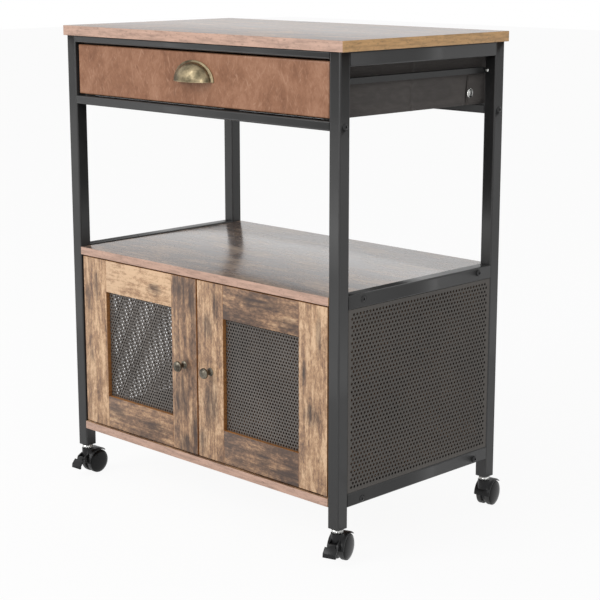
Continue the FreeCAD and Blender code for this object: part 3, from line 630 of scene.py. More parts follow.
def body_of(node):
    """The CAD body that a node belongs to."""
    return nodes[node]["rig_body"]


def middle_of(node):
    """The middle of a node's box."""
    low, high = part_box(node)
    return (low + high) / 2


def finish_piece(obj, slot_name, *replaced, body=None):
    """Ride with the body and stand for nodes; slot_name is not used."""
    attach(obj, body or body_of(replaced[0]))
    if replaced:
        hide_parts(*replaced)
    return obj


def bake_modifiers(obj):
    """Turn the object's modifiers into plain mesh."""
    graph = bpy.context.evaluated_depsgraph_get()
    mesh = bpy.data.meshes.new_from_object(obj.evaluated_get(graph))
    obj.modifiers.clear()
    obj.data = mesh
    return obj


def new_piece(name, verts, faces, *materials, finish=()):
    """A closed mesh object, its normals outwards; finish gives each face's material index."""
    mesh = bpy.data.meshes.new(name)
    mesh.from_pydata(verts, [], faces)
    for material in materials:
        mesh.materials.append(material)
    if finish:
        mesh.polygons.foreach_set("material_index", finish)
    work = bmesh.new()
    work.from_mesh(mesh)
    bmesh.ops.remove_doubles(work, verts=work.verts, dist=MERGE)
    bmesh.ops.recalc_face_normals(work, faces=work.faces)
    work.to_mesh(mesh)
    work.free()
    return link(bpy.data.objects.new(name, mesh))


def ring_faces(rings, count):
    """Quads from each closed ring of points to the next."""
    return [(ring * count + step, ring * count + (step + 1) % count,
             (ring + 1) * count + (step + 1) % count, (ring + 1) * count + step)
            for ring in range(rings - 1) for step in range(count)]


def ease_edges(obj, width, segments=2, angle=40, by_weight=False):
    """Round the edges with a Bevel modifier, keeping flat faces flat, and bake it."""
    for polygon in obj.data.polygons:
        polygon.use_smooth = True
    bevel = obj.modifiers.new("eased", "BEVEL")
    bevel.width = width
    bevel.segments = segments
    bevel.limit_method = "WEIGHT" if by_weight else "ANGLE"
    bevel.angle_limit = math.radians(angle)
    bevel.harden_normals = True
    return bake_modifiers(obj)


def merged_copy(node, name, *materials, flat_angle=1.0):
    """A copy of a CAD node's solid with its loose triangles merged."""
    work = bmesh.new()
    work.from_mesh(nodes[node].data)
    bmesh.ops.remove_doubles(work, verts=work.verts, dist=MERGE)
    if flat_angle:
        bmesh.ops.dissolve_limit(work, angle_limit=math.radians(flat_angle), verts=work.verts,
                                 edges=work.edges)
    mesh = bpy.data.meshes.new(name)
    work.to_mesh(mesh)
    work.free()
    for material in materials:
        mesh.materials.append(material)
    return link(bpy.data.objects.new(name, mesh))


def smoothed(obj, angle):
    """The object with smooth shading, sharp where faces meet at more than an angle in degrees."""
    for polygon in obj.data.polygons:
        polygon.use_smooth = True
    obj.data.set_sharp_from_angle(angle=math.radians(angle))
    return obj


def dress(node, material):
    """Give a CAD node that stays one finish."""
    mesh = nodes[node].data
    mesh.materials.clear()
    mesh.materials.append(material)


print("finishes can go on", len(nodes), "nodes")


# %% [markdown]
# Some CAD solids are right as they are: the runners and slides of the drawer, the door catch, the
# plugs in the posts, the board behind the leather-look skin and the hinge pins.  Making them anew
# would only copy them, so each stays where it is and gets its finish.

# %% Finishes on the solids that stay
STAYING = {
    "drawer_runner_left": runner_paint, "drawer_slide_left": runner_paint,
    "drawer_runner_right": runner_paint, "drawer_slide_right": runner_paint,
    "door_catch": plug_plastic, "post_plugs": plug_plastic,
    "drawer_front_board": core_board, "hinge_pins": bright_steel,
}
for node, finish in STAYING.items():
    dress(node, finish)
print(len(STAYING), "solids stay")


# %% [markdown]
# The boards.  Sawn board has a face print and a separate edge strip, and its edges are eased by
# 0.6 millimetres, which is what catches the light.  The CAD solid already has the right size, so a
# merged copy of it gets a Bevel modifier, and each face takes the print or the strip by the way it
# looks.

# %% Boards with eased edges
EASE = 0.6 * MM


def board(node, materials, pick):
    """An eased copy of a board; pick gives each face's material from its normal."""
    obj = merged_copy(node, node + "_board", *materials)
    for polygon in obj.data.polygons:
        polygon.material_index = pick(polygon.normal)
    finish_piece(ease_edges(obj, EASE), "rustic_wood", node)


def lying(normal):
    """Print above and below, front strip in front and behind, the painted-lit side strip at the
    ends.
    """
    if abs(normal.z) > 0.7:
        return 0
    return 2 if abs(normal.x) > 0.7 else 1


def standing(normal):
    """Print in front and behind, strip on every edge."""
    return 0 if abs(normal.y) > 0.7 else 1


board("top_board", (top_print, front_strip, painted_lit_side_strip), lying)
board("shelf_board", (shelf_print, front_strip, painted_lit_side_strip), lying)
board("bottom_board", (floor_print, front_strip, painted_lit_side_strip), lying)
board("back_panel", (back_print, front_strip), standing)
print("eased by", EASE / MM, "mm")


# %% [markdown]
# Each door is a frame of two stiles and two rails round a window.  The print was laid on each
# member before it was cut, so each has its own patch of it, with the grain along the member.  One
# table gives every member its grain, shift, tone and dark knots, and a loop makes all eight.

# %% Door frames
DOOR_MEMBERS = (
    # node, grain, shift, tone, smudge threshold,
    # knots as (x, z, half length, half width) in millimetres
    ("left_hinge_stile", "z", (0.31, 0.10, 0.72), 0.07, 0.61,
     ((-235, 322, 26, 8), (-255, 300, 32, 6), (-250, 205, 16, 6))),
    ("left_free_stile", "z", (0.87, 0.62, 0.24), -0.02, 0.58,
     ((-32, 345, 26, 20), (-10, 325, 42, 12), (-38, 178, 44, 20), (-8, 130, 40, 12),
      (-46, 262, 26, 6), (-30, 105, 24, 18))),
    ("left_top_rail", "x", (0.15, 0.95, 0.33), 0.17, 0.66, ((-95, 334, 18, 11),)),
    ("left_bottom_rail", "x", (0.65, 0.05, 0.85), -0.05, 0.57,
     ((-190, 122, 30, 14), (-98, 116, 40, 15))),
    ("right_hinge_stile", "z", (0.45, 0.33, 0.15), 0.06, 0.6,
     ((237, 205, 22, 17), (250, 320, 32, 7), (222, 262, 20, 6))),
    ("right_free_stile", "z", (0.22, 0.81, 0.57), 0.03, 0.6,
     ((24, 297, 26, 15), (30, 180, 46, 20), (10, 120, 26, 11), (40, 330, 28, 8))),
    ("right_top_rail", "x", (0.93, 0.27, 0.41), -0.12, 0.55,
     ((142, 347, 46, 11), (112, 345, 24, 10), (190, 325, 36, 14))),
    ("right_bottom_rail", "x", (0.38, 0.74, 0.66), -0.11, 0.55,
     ((139, 120, 20, 17), (186, 106, 42, 18))),
)
for name, grain, shift, light, smudge, knots in DOOR_MEMBERS:
    node = "door_" + name
    face = wood(name.replace("_", " ") + " print", grain, shift, light, smudge, knots=knots)
    board(node, (face, painted_shade_window_strip), standing)
print(len(DOOR_MEMBERS), "door members")


# %% [markdown]
# The frame is welded from square steel tube.  Drawn tube has rounded corners, and under soft light
# each long corner shows as one thin bright line.  A box with a hole through it, bevelled only on
# its four long outer edges by an edge weight, gives that line with few faces.

# %% Square tubes
TUBE_CORNER = 2.4 * MM
TUBE_WALL = 1.2 * MM
SAME_PLACE = 1e-6
LONG_EDGE = 1e-4


def square_tube(node, axis):
    """A hollow tube that fills the node's box, open at both ends along the axis."""
    low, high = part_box(node)
    first, second = [other for other in range(3) if other != axis]
    verts = []
    for end in (low[axis], high[axis]):
        for inset in (0.0, TUBE_WALL):
            for a, b in ((0, 0), (1, 0), (1, 1), (0, 1)):
                point = Vector((0, 0, 0))
                point[axis] = end
                point[first] = high[first] - inset if a else low[first] + inset
                point[second] = high[second] - inset if b else low[second] + inset
                verts.append(point)
    faces = []
    for side in range(4):
        following = (side + 1) % 4
        faces.append((side, following, 8 + following, 8 + side))
        faces.append((4 + side, 4 + following, 12 + following, 12 + side))
        faces.append((side, following, 4 + following, 4 + side))
        faces.append((8 + side, 8 + following, 12 + following, 12 + side))
    obj = new_piece(node + "_tube", verts, faces, frame_paint)
    weights = obj.data.attributes.new("bevel_weight_edge", "FLOAT", "EDGE")
    for edge in obj.data.edges:
        a, b = (obj.data.vertices[index].co for index in edge.vertices)
        outer = all(min(abs(a[k] - low[k]), abs(a[k] - high[k])) < SAME_PLACE
                    for k in (first, second))
        along = abs(a[axis] - b[axis]) > LONG_EDGE
        weights.data[edge.index].value = 1.0 if outer and along else 0.0
    finish_piece(ease_edges(obj, TUBE_CORNER, 3, by_weight=True), "frame_paint", node)


tubes = [node for node in nodes if node.startswith("post_") and node != "post_plugs"]
for node in tubes:
    square_tube(node, 2)
rails = [node for node in nodes if node.endswith(("_rail_left", "_rail_right"))]
for node in rails:
    square_tube(node, 1)
bars = [node for node in nodes if node.startswith(("crossbar", "top_bar"))]
for node in bars:
    square_tube(node, 0)
print(len(tubes), "posts,", len(rails), "rails,", len(bars), "bars")


# %% [markdown]
# What repeats is made by Geometry Nodes: one tree for each kind of thing, with its sizes as named
# inputs, so that the same tree serves several places.  The few helpers below only shorten the
# writing of such a tree.  A finished tree makes its instances real and sets the material, and then
# its result is kept as a plain mesh.

# %% Geometry Nodes helpers
class NodeBuilder:
    """Short ways to add nodes to one Geometry Nodes tree."""

    def __init__(self, tree):
        self.tree = tree

    def give(self, entry, value):
        """Set an input from a socket or a plain value."""
        if isinstance(value, bpy.types.NodeSocket):
            self.tree.links.new(value, entry)
        else:
            entry.default_value = value

    def add(self, kind, _settings=(), **inputs):
        """A node with its settings, whose named inputs are sockets or plain values."""
        node = self.tree.nodes.new(kind)
        for name, value in _settings:
            setattr(node, name, value)
        for name, value in inputs.items():
            self.give(node.inputs[name.replace("_", " ")], value)
        return node

    def math(self, operation, first, second=0.0):
        """Arithmetic on two numbers."""
        node = self.add("ShaderNodeMath", [("operation", operation)])
        self.give(node.inputs[0], first)
        self.give(node.inputs[1], second)
        return node.outputs[0]

    def vector(self, x=0.0, y=0.0, z=0.0):
        """A vector from its three parts."""
        return self.add("ShaderNodeCombineXYZ", X=x, Y=y, Z=z).outputs[0]

    def join(self, *geometries):
        """Several geometries as one."""
        node = self.add("GeometryNodeJoinGeometry")
        for geometry in geometries:
            self.tree.links.new(geometry, node.inputs[0])
        return node.outputs[0]

    def position(self):
        """The X, Y and Z sockets of the current position."""
        place = self.add("GeometryNodeInputPosition").outputs[0]
        return self.add("ShaderNodeSeparateXYZ", Vector=place).outputs

    def finish(self, geometry, material):
        """Realize Instances, Set Material and the tree's output."""
        self.tree.interface.new_socket(name="Geometry", in_out="OUTPUT",
                                       socket_type="NodeSocketGeometry")
        real = self.add("GeometryNodeRealizeInstances", Geometry=geometry).outputs[0]
        painted = self.add("GeometryNodeSetMaterial", Geometry=real, Material=material).outputs[0]
        self.tree.links.new(painted, self.tree.nodes.new("NodeGroupOutput").inputs[0])
        return self.tree


SOCKETS = {int: "NodeSocketInt", float: "NodeSocketFloat"}


def new_tree(name, takes_points=False, **inputs):
    """A tree with a Finish and named numbers; takes_points hands it the object's own mesh."""
    tree = bpy.data.node_groups.new(name, "GeometryNodeTree")
    if takes_points:
        tree.interface.new_socket(name="Points", in_out="INPUT", socket_type="NodeSocketGeometry")
    for label, value in inputs.items():
        socket = tree.interface.new_socket(name=label.replace("_", " "), in_out="INPUT",
                                           socket_type=SOCKETS[type(value)])
        socket.default_value = value
    tree.interface.new_socket(name="Finish", in_out="INPUT", socket_type="NodeSocketMaterial")
    return NodeBuilder(tree), tree.nodes.new("NodeGroupInput").outputs


def grown(name, tree, settings, start=None):
    """Run a tree with named settings, on a start mesh if it takes one, and keep the mesh."""
    obj = link(bpy.data.objects.new(name, start or bpy.data.meshes.new(name)))
    modifier = obj.modifiers.new("grown", "NODES")
    modifier.node_group = tree
    for item in tree.interface.items_tree:
        if item.in_out == "INPUT" and item.name in settings:
            modifier[item.identifier] = settings[item.name]
    return bake_modifiers(obj)


# %% [markdown]
# Perforated steel is the finest work on this cart.  The side sheets and the door panels are
# punched with small round holes in staggered rows.  Cutting two thousand holes with a boolean is
# slow, and so is filling one outline that holds them all.  So the tree fills a single strip with
# two rows of holes, stacks copies of the strip, adds a plain border above and below, welds the
# seams, and gives the whole sheet its thickness at the end.

# %% A punched sheet as a node tree
WELD = 1e-5
PAST_END = 0.1 * MM


def punched_sheet_tree():
    """A strip of holes, stacked, bordered and made thick."""
    build, given = new_tree("Punched sheet", Width=0.3, Height=0.26, Pitch=0.0076,
                            Row_Pitch=0.0065, Hole_Radius=0.0021, Thickness=0.0012, Columns=38,
                            Double_Rows=19, Hole_Sides=10)
    pitch, row_pitch = given["Pitch"], given["Row Pitch"]
    reach = build.math("MULTIPLY", build.math("SUBTRACT", given["Columns"], 1), pitch)

    # the centres of one double row: the upper row is shifted by half a pitch and has one hole less
    grid = build.add("GeometryNodeMeshGrid", Size_X=reach, Size_Y=row_pitch,
                     Vertices_X=given["Columns"], Vertices_Y=2).outputs["Mesh"]
    upper = build.math("GREATER_THAN", build.position()[1], 0.0)
    shift = build.vector(x=build.math("MULTIPLY", build.math("MULTIPLY", upper, pitch), 0.5))
    centres = build.add("GeometryNodeSetPosition", Geometry=grid, Offset=shift).outputs[0]
    beyond = build.math("GREATER_THAN", build.position()[0],
                        build.math("ADD", build.math("MULTIPLY", reach, 0.5), PAST_END))
    centres = build.add("GeometryNodeDeleteGeometry", Geometry=centres,
                        Selection=beyond).outputs[0]

    # circles on the centres, filled together with the strip's outline
    ring = build.add("GeometryNodeCurvePrimitiveCircle", Resolution=given["Hole Sides"],
                     Radius=given["Hole Radius"]).outputs[0]
    rings = build.add("GeometryNodeInstanceOnPoints", Points=centres, Instance=ring).outputs[0]
    rings = build.add("GeometryNodeRealizeInstances", Geometry=rings).outputs[0]
    strip_height = build.math("MULTIPLY", row_pitch, 2.0)
    outline = build.add("GeometryNodeCurvePrimitiveQuadrilateral", Width=given["Width"],
                        Height=strip_height).outputs[0]
    fill = build.add("GeometryNodeFillCurve", [("mode", "TRIANGLES")],
                     Curve=build.join(rings, outline)).outputs[0]

    # the strips, one above the other, and the plain borders
    rise = build.math("MULTIPLY", build.math("SUBTRACT", given["Double Rows"], 1), strip_height)
    first = build.vector(y=build.math("MULTIPLY", rise, -0.5))
    stack = build.add("GeometryNodeMeshLine", Count=given["Double Rows"], Start_Location=first,
                      Offset=build.vector(y=strip_height)).outputs[0]
    strips = build.add("GeometryNodeInstanceOnPoints", Points=stack, Instance=fill).outputs[0]
    punched = build.math("MULTIPLY", given["Double Rows"], strip_height)
    border = build.math("MULTIPLY", build.math("SUBTRACT", given["Height"], punched), 0.5)
    plain = build.add("GeometryNodeMeshGrid", Size_X=given["Width"], Size_Y=border, Vertices_X=2,
                      Vertices_Y=2).outputs["Mesh"]
    away = build.math("MULTIPLY", build.math("ADD", punched, border), 0.5)
    borders = [build.add("GeometryNodeTransform", Geometry=plain,
                         Translation=build.vector(y=build.math("MULTIPLY", away, way))).outputs[0]
               for way in (1.0, -1.0)]
    flat = build.add("GeometryNodeRealizeInstances",
                     Geometry=build.join(strips, *borders)).outputs[0]
    flat = build.add("GeometryNodeMergeByDistance", Geometry=flat, Distance=WELD).outputs[0]

    # thickness: a raised copy with walls, and the turned-over original as its back
    raised = build.add("GeometryNodeExtrudeMesh", Mesh=flat, Offset=build.vector(z=1.0),
                       Offset_Scale=given["Thickness"], Individual=False).outputs["Mesh"]
    back = build.add("GeometryNodeFlipFaces", Mesh=flat).outputs[0]
    closed = build.add("GeometryNodeMergeByDistance", Geometry=build.join(raised, back),
                       Distance=WELD).outputs[0]
    return build.finish(closed, given["Finish"])


PUNCHED_SHEET = punched_sheet_tree()


# %% [markdown]
# The side sheets have holes of 4.1 mm, 6.6 mm apart, in a plain border, and the door panels have
# finer ones, closer together.  Each sheet is grown flat at the origin and then stood up in the box
# of its CAD solid, so its height, width and thickness are the solid's own.

# %% Side sheets and door panels
def punched_panel(node, name, slot_name, finish, pitch, row, hole, border, sides):
    """A punched sheet that fills the node's box, which is thin along X or Y."""
    low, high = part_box(node)
    size = high - low
    thin_x = size.x < size.y
    width, thick = (size.y, size.x) if thin_x else (size.x, size.y)
    columns = int((width - 2 * border - 2 * hole) / pitch) + 1
    double_rows = int((size.z - 2 * border) / (2 * row))
    obj = grown(name, PUNCHED_SHEET, {
        "Width": width, "Height": size.z, "Pitch": pitch, "Row Pitch": row, "Hole Radius": hole,
        "Thickness": thick, "Columns": columns, "Double Rows": double_rows, "Hole Sides": sides,
        "Finish": finish})
    middle = middle_of(node)
    if thin_x:
        turn = Matrix(((0, 0, 1), (1, 0, 0), (0, 1, 0))).to_4x4()
        start = Vector((low.x, middle.y, middle.z))
    else:
        turn = Matrix(((1, 0, 0), (0, 0, -1), (0, 1, 0))).to_4x4()
        start = Vector((middle.x, high.y, middle.z))
    obj.data.transform(Matrix.Translation(start) @ turn)
    print(node, columns, "x", 2 * double_rows, "holes,", len(obj.data.polygons), "faces")
    return finish_piece(obj, slot_name, node)


# pitch along a row, between rows, hole radius and border in millimetres
SIDE_PATTERN = [size * MM for size in (6.6, 5.7, 2.05, 4.0)]
DOOR_PATTERN = [size * MM for size in (5.4, 4.7, 1.9, 2.0)]
for side in ("left", "right"):
    punched_panel("side_sheet_" + side, "side_perforation_" + side, "frame_paint", sheet_paint,
                  *SIDE_PATTERN, 10)
    punched_panel("door_" + side + "_mesh", "door_perforation_" + side, "door_mesh", mesh_paint,
                  *DOOR_PATTERN, 8)


# %% [markdown]
# Button-head bolts hold the boards and bars to the frame, and small bright screws hold the drawer
# runners to the posts.  Both have a domed head with a six-sided socket.  One tree makes a head
# once, from a sphere pressed flat below and a boolean with a six-sided prism, and stands it on
# every point, turned the way that the point's "facing" attribute says.

# %% Socket-head bolts as a node tree
def socket_head_tree():
    """A domed head with a six-sided socket on every point."""
    build, given = new_tree("Socket heads", takes_points=True, Head_Radius=0.0048,
                            Head_Height=0.0024, Socket_Radius=0.0019, Sink=0.0003)
    ball = build.add("GeometryNodeMeshUVSphere", Segments=28, Rings=14, Radius=1.0).outputs[0]
    scale = build.vector(given["Head Radius"], given["Head Radius"], given["Head Height"])
    ball = build.add("GeometryNodeTransform", Geometry=ball, Scale=scale).outputs[0]
    x, y, z = build.position()
    floor_z = build.math("MULTIPLY", given["Sink"], -1.0)
    pressed = build.vector(x, y, build.math("MAXIMUM", z, floor_z))
    head = build.add("GeometryNodeSetPosition", Geometry=ball, Position=pressed).outputs[0]
    prism = build.add("GeometryNodeMeshCylinder", Vertices=6, Radius=given["Socket Radius"],
                      Depth=given["Head Height"]).outputs["Mesh"]
    lift = build.vector(z=build.math("MULTIPLY", given["Head Height"], 0.95))
    prism = build.add("GeometryNodeTransform", Geometry=prism, Translation=lift).outputs[0]
    cut = build.add("GeometryNodeMeshBoolean", [("operation", "DIFFERENCE")])
    build.give(cut.inputs["Mesh 1"], head)
    build.give(cut.inputs["Mesh 2"], prism)
    facing = build.add("GeometryNodeInputNamedAttribute", [("data_type", "FLOAT_VECTOR")],
                       Name="facing").outputs[0]
    turned = build.add("FunctionNodeAlignRotationToVector", [("axis", "Z")],
                       Vector=facing).outputs[0]
    heads = build.add("GeometryNodeInstanceOnPoints", Points=given["Points"],
                      Instance=cut.outputs[0], Rotation=turned).outputs[0]
    return build.finish(heads, given["Finish"])


SOCKET_HEADS = socket_head_tree()


def facing_points(name, rows):
    """Loose points, each given as a place and the direction that it faces."""
    mesh = bpy.data.meshes.new(name)
    mesh.from_pydata([place for place, _ in rows], [], [])
    facing = mesh.attributes.new("facing", "FLOAT_VECTOR", "POINT")
    for index, (_, direction) in enumerate(rows):
        facing.data[index].vector = direction
    return mesh


# %% [markdown]
# The bolts stand on the outer faces of the posts and rails: one at each end of both crossbars
# under the drawer, and on each side of the cart two for the shelf and two for the bottom board.
# The small bright screws sit on the bent tabs at the ends of the runners, with their heads facing
# inwards.

# %% Bolts and runner screws
bolt_low, bolt_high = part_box("frame_bolts")
BOLT_HEIGHT = 2.4 * MM
BOARD_BOLT_Y = 125 * MM


# places on one side of the cart, as (y, z)
BOLT_SPOTS = [(middle_of("post_back_right").y, middle_of("crossbar_back").z),
              (BOARD_BOLT_Y, middle_of("shelf_board").z),
              (BOARD_BOLT_Y, middle_of("bottom_board").z)]
bolts = [((outside - across * BOLT_HEIGHT, along * y, z), (across, 0, 0))
         for across, outside in ((-1, bolt_low.x), (1, bolt_high.x))
         for along in (-1, 1) for y, z in BOLT_SPOTS]
heads = grown("frame_bolt_heads", SOCKET_HEADS, {"Finish": bolt_paint},
              facing_points("bolt places", bolts))
finish_piece(smoothed(heads, 35), "bolt_black", "frame_bolts")

runner_low, runner_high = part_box("drawer_runner_right")
TAB_WALL = 1.2 * MM
TAB_MIDDLE = 4.5 * MM
screws = [((across * (runner_high.x - TAB_MIDDLE), along * (runner_high.y - TAB_WALL),
            (runner_low.z + runner_high.z) / 2), (0, -along, 0))
          for across in (-1, 1) for along in (-1, 1)]
heads = grown("runner_screws", SOCKET_HEADS,
              {"Finish": bright_steel, "Head Radius": 3.0 * MM, "Head Height": 1.6 * MM,
               "Socket Radius": 1.2 * MM}, facing_points("screw places", screws))
finish_piece(smoothed(heads, 35), "bright_steel", body=body_of("drawer_runner_right"))
print(len(bolts), "bolts,", len(screws), "runner screws")


# %% [markdown]
# The drawer front is a wooden board with a leather-look skin wrapped round its face and edges.
# The CAD solid already has the rounded edges, so a merged copy with smooth shading is enough: the
# round right end then shows the pale upright highlight that the real one has.  The cast cup pull
# is also kept as it is, merged and smoothed, so that patina and light do the work.

# %% Drawer front and cup pull
skin = smoothed(merged_copy("drawer_front_skin", "drawer_front_leather", hide), 30)
finish_piece(skin, "drawer_leather", "drawer_front_skin")
pull = smoothed(merged_copy("cup_pull", "antique_cup_pull", brass, flat_angle=0), 40)
finish_piece(pull, "aged_brass", "cup_pull")
print("skin", len(skin.data.polygons), "faces, pull", len(pull.data.polygons), "faces")


# %% [markdown]
# The drawer box is a sewn fabric bin: cloth over thin board, with narrow corners, walls that sag a
# little between them, a hem band round the top and one upright fold in the middle of each side,
# where the bin folds flat.  A cloth simulation would only soften it, because the board inside
# holds its shape, so its walls are drawn by a rule.  One function walks round the plan of the box,
# and another pushes the wall in or out at each height.

# %% The box's plan
box_low, box_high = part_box("drawer_box")
box_middle = middle_of("drawer_box")
box_half = (box_high - box_low) / 2
BOX_CORNER = 3.0 * MM
WALLS = ("right", "back", "left", "front")
WALL_LENGTHS = [2 * (half - BOX_CORNER) for half in (box_half.y, box_half.x) * 2]
ARC = BOX_CORNER * math.pi / 2
ROUND_TRIP = sum(WALL_LENGTHS) + 4 * ARC


def plan(distance):
    """Place, outward normal, wall and share of that wall, that far round from the front right."""
    distance %= ROUND_TRIP
    for index, (wall, length) in enumerate(zip(WALLS, WALL_LENGTHS)):
        heading = index * math.pi / 2
        normal = Vector((math.cos(heading), math.sin(heading), 0))
        along = Vector((-normal.y, normal.x, 0))
        half = box_half.x if index % 2 == 0 else box_half.y
        if distance <= length:
            place = normal * half + along * (distance - length / 2)
            return place, normal, wall, distance / length
        distance -= length
        if distance <= ARC or index == 3:
            corner = normal * (half - BOX_CORNER) + along * (length / 2)
            turned = heading + distance / BOX_CORNER
            normal = Vector((math.cos(turned), math.sin(turned), 0))
            return corner + normal * BOX_CORNER, normal, "corner", 0.0
        distance -= ARC


# %% [markdown]
# The cloth isn't flat.  It sags between the corners, ripples a little, folds at the middle of each
# side, thickens at the hem and at the bound seams of the back corners, and flares out at its lower
# front corners, where it is tacked to the back of the wooden front.  In front of each corner flap
# it is tucked in.  One rule adds all of these up as a distance along the wall's normal.

# %% Push of the walls
SAG_LOW, SAG_HIGH = 2.0 * MM, 42.0 * MM
SAG = 2.0 * MM
RIPPLE = 0.3 * MM
HEM_FOOT = 58.0 * MM
HEM_THICK = 0.5 * MM
FOLD_RISE = 0.9 * MM
FOLD_HALF = 3.0 * MM
FLAP_SIDE = 41.0 * MM
TUCK_WIDTH = 6.0 * MM
TUCK_DEEP = 2.2 * MM
SEAM_RISE = 1.8 * MM
SEAM_HALF = 5.0 * MM
FLARE_TOP = 28.0 * MM
FLARE_RISE = 7.0 * MM
FLARE_LENGTH = 12.0 * MM


def push(place, distance, wall, share, height):
    """How far the wall stands out at one place: hem, seams, flare, sag, ripples and fold."""
    out = HEM_THICK if height > HEM_FOOT else 0.0
    to_seam = max(box_half.y - place.y, box_half.x - abs(place.x)) - BOX_CORNER / 2
    out += SEAM_RISE * max(0.0, 1.0 - max(0.0, to_seam) / SEAM_HALF)
    if height < FLARE_TOP and abs(place.x) > box_half.x - BOX_CORNER:
        out += FLARE_RISE * max(0.0, 1.0 - (box_half.y + place.y) / FLARE_LENGTH)
    if wall not in ("right", "left", "back"):
        return out
    free = math.sin(math.pi * share)
    if SAG_LOW < height < SAG_HIGH:
        swell = math.sin(math.pi * (height - SAG_LOW) / (SAG_HIGH - SAG_LOW))
        ripple = math.sin(85 * distance + 1.3) + math.sin(213 * distance + 40 * height)
        out -= free * swell * (SAG + RIPPLE * ripple)
    if wall != "back":
        from_fold = (share - 0.5) * WALL_LENGTHS[0] / FOLD_HALF
        out += FOLD_RISE * math.exp(-from_fold * from_fold)
        to_back = WALL_LENGTHS[0] * (1 - share if wall == "right" else share) + BOX_CORNER
        tuck = FLAP_SIDE + TUCK_WIDTH * (1 - height / SAG_HIGH) - to_back
        if height < SAG_HIGH and 0 < FLAP_SIDE + TUCK_WIDTH - to_back and to_back > FLAP_SIDE - MM:
            out -= TUCK_DEEP * min(1.0, max(0.0, tuck / MM))
    return out


def on_box(distance, height, lift=0.0):
    """A point of the box's outer cloth, lifted off it along the normal."""
    place, normal, wall, share = plan(distance)
    point = place + normal * (push(place, distance, wall, share, height) + lift)
    return Vector((box_middle.x + point.x, box_middle.y + point.y, box_low.z + height))


print("box", round(ROUND_TRIP, 3), "m round")


# %% [markdown]
# The wall is a stack of rings.  Each ring follows the plan at one height, up the outside, over the
# hem and down the inside, and has more points where the cloth bends: at the folds, the corners and
# the front edges of the flaps.  A face below and one inside close it.

# %% Fabric box
SIDE_STEPS, END_STEPS, CORNER_STEPS = 32, 44, 5
FOLD_STATIONS = (-1.6, -1.0, -0.5, 0.5, 1.0, 1.6)
TUCK_STATIONS = (-1.5, -1.0, -0.5, 0.4, 1.4, 2.4, 3.4, 4.4, 5.4, 6.3)


def ring_stations():
    """Distances round the box: even along the walls, closer at the folds and the corners."""
    stations = []
    start = 0.0
    for index, length in enumerate(WALL_LENGTHS):
        is_side = index % 2 == 0
        steps = SIDE_STEPS if is_side else END_STEPS
        stations += [start + length * step / steps for step in range(steps)]
        if is_side:
            stations += [start + length / 2 + offset * FOLD_HALF for offset in FOLD_STATIONS]
            edge = length + BOX_CORNER - FLAP_SIDE
            stations += [start + (edge - step * MM if index == 0 else length - edge + step * MM)
                         for step in TUCK_STATIONS]
        stations += [start + length + ARC * step / CORNER_STEPS for step in range(CORNER_STEPS)]
        start += length + ARC
    return sorted(stations)


# rings as (height, lift off the wall) in millimetres
OUTSIDE = [(-0.9, -1.0), (-0.7, -0.4), (0.0, 0), (2.0, 0)] + [(h, 0) for h in range(6, 58, 4)]
OUTSIDE += [(57.6, 0), (58.4, 0), (64, 0), (70, 0), (72.0, -0.1), (72.8, -0.4), (73, -1.2)]
INSIDE = [(73, -1.9), (72.7, -2.8), (71.6, -3.2), (58.4, -3.2), (57, -3), (42, -3), (30, -3),
          (18, -3), (6, -3), (3, -3)]
rings = OUTSIDE + INSIDE
stations = ring_stations()
verts = [on_box(distance, height * MM, lift * MM)
         for height, lift in rings for distance in stations]
count = len(stations)
caps = [tuple(range(count)), tuple(range(len(verts) - count, len(verts)))]
box = smoothed(new_piece("fabric_box", verts, caps + ring_faces(len(rings), count), cloth), 50)
finish_piece(box, "box_fabric", "drawer_box")
print("fabric box", len(box.data.polygons), "faces, top at", round(box_high.z - box_low.z, 4))


# %% [markdown]
# At each back corner a stitched flap of the same cloth is buttoned over the corner with a bright
# snap.  The flap follows the same plan as the wall, lifted off it, and so do the stitches, which
# are small grains of thread set along a line by a node tree.

# %% Corner flaps
FLAP_FOOT, FLAP_TOP = 2.0 * MM, 42.0 * MM
FLAP_BACK = 30.0 * MM
FLAP_THICK = 1.0 * MM
FLAP_END_THIN = 0.35
FLAP_STEPS = 26
# rings as (height, share of the thickness)
FLAP_ROWS = [(FLAP_FOOT, -0.5), (FLAP_FOOT, 0.7), (FLAP_FOOT + 0.5 * MM, 1.0), (12 * MM, 1.0),
             (22 * MM, 1.0), (32 * MM, 1.0), (FLAP_TOP - 0.5 * MM, 1.0), (FLAP_TOP, 0.7),
             (FLAP_TOP, -0.5)]
BACK_START = WALL_LENGTHS[0]
FLAP_STARTS = {"right": BACK_START - (FLAP_SIDE - BOX_CORNER),
               "left": BACK_START + ARC + WALL_LENGTHS[1] - (FLAP_BACK - BOX_CORNER)}
FLAP_LENGTH = FLAP_SIDE + FLAP_BACK - 2 * BOX_CORNER + ARC


def flap(side):
    """A thin curved plate of cloth round one back corner."""
    verts = []
    for height, lift in FLAP_ROWS:
        for step in range(FLAP_STEPS + 1):
            thin = FLAP_END_THIN if step in (0, FLAP_STEPS) and lift > 0 else 1.0
            distance = FLAP_STARTS[side] + FLAP_LENGTH * step / FLAP_STEPS
            verts.append(on_box(distance, height, lift * thin * FLAP_THICK))
    width = FLAP_STEPS + 1
    faces = []
    for row in range(len(FLAP_ROWS)):
        above = (row + 1) % len(FLAP_ROWS)
        for step in range(FLAP_STEPS):
            faces.append((row * width + step, row * width + step + 1,
                          above * width + step + 1, above * width + step))
    for end in (0, FLAP_STEPS):
        faces.append(tuple(row * width + end for row in range(len(FLAP_ROWS))))
    piece = smoothed(new_piece("corner_flap_" + side, verts, faces, cloth), 50)
    return finish_piece(piece, "box_fabric", body=body_of("drawer_box"))


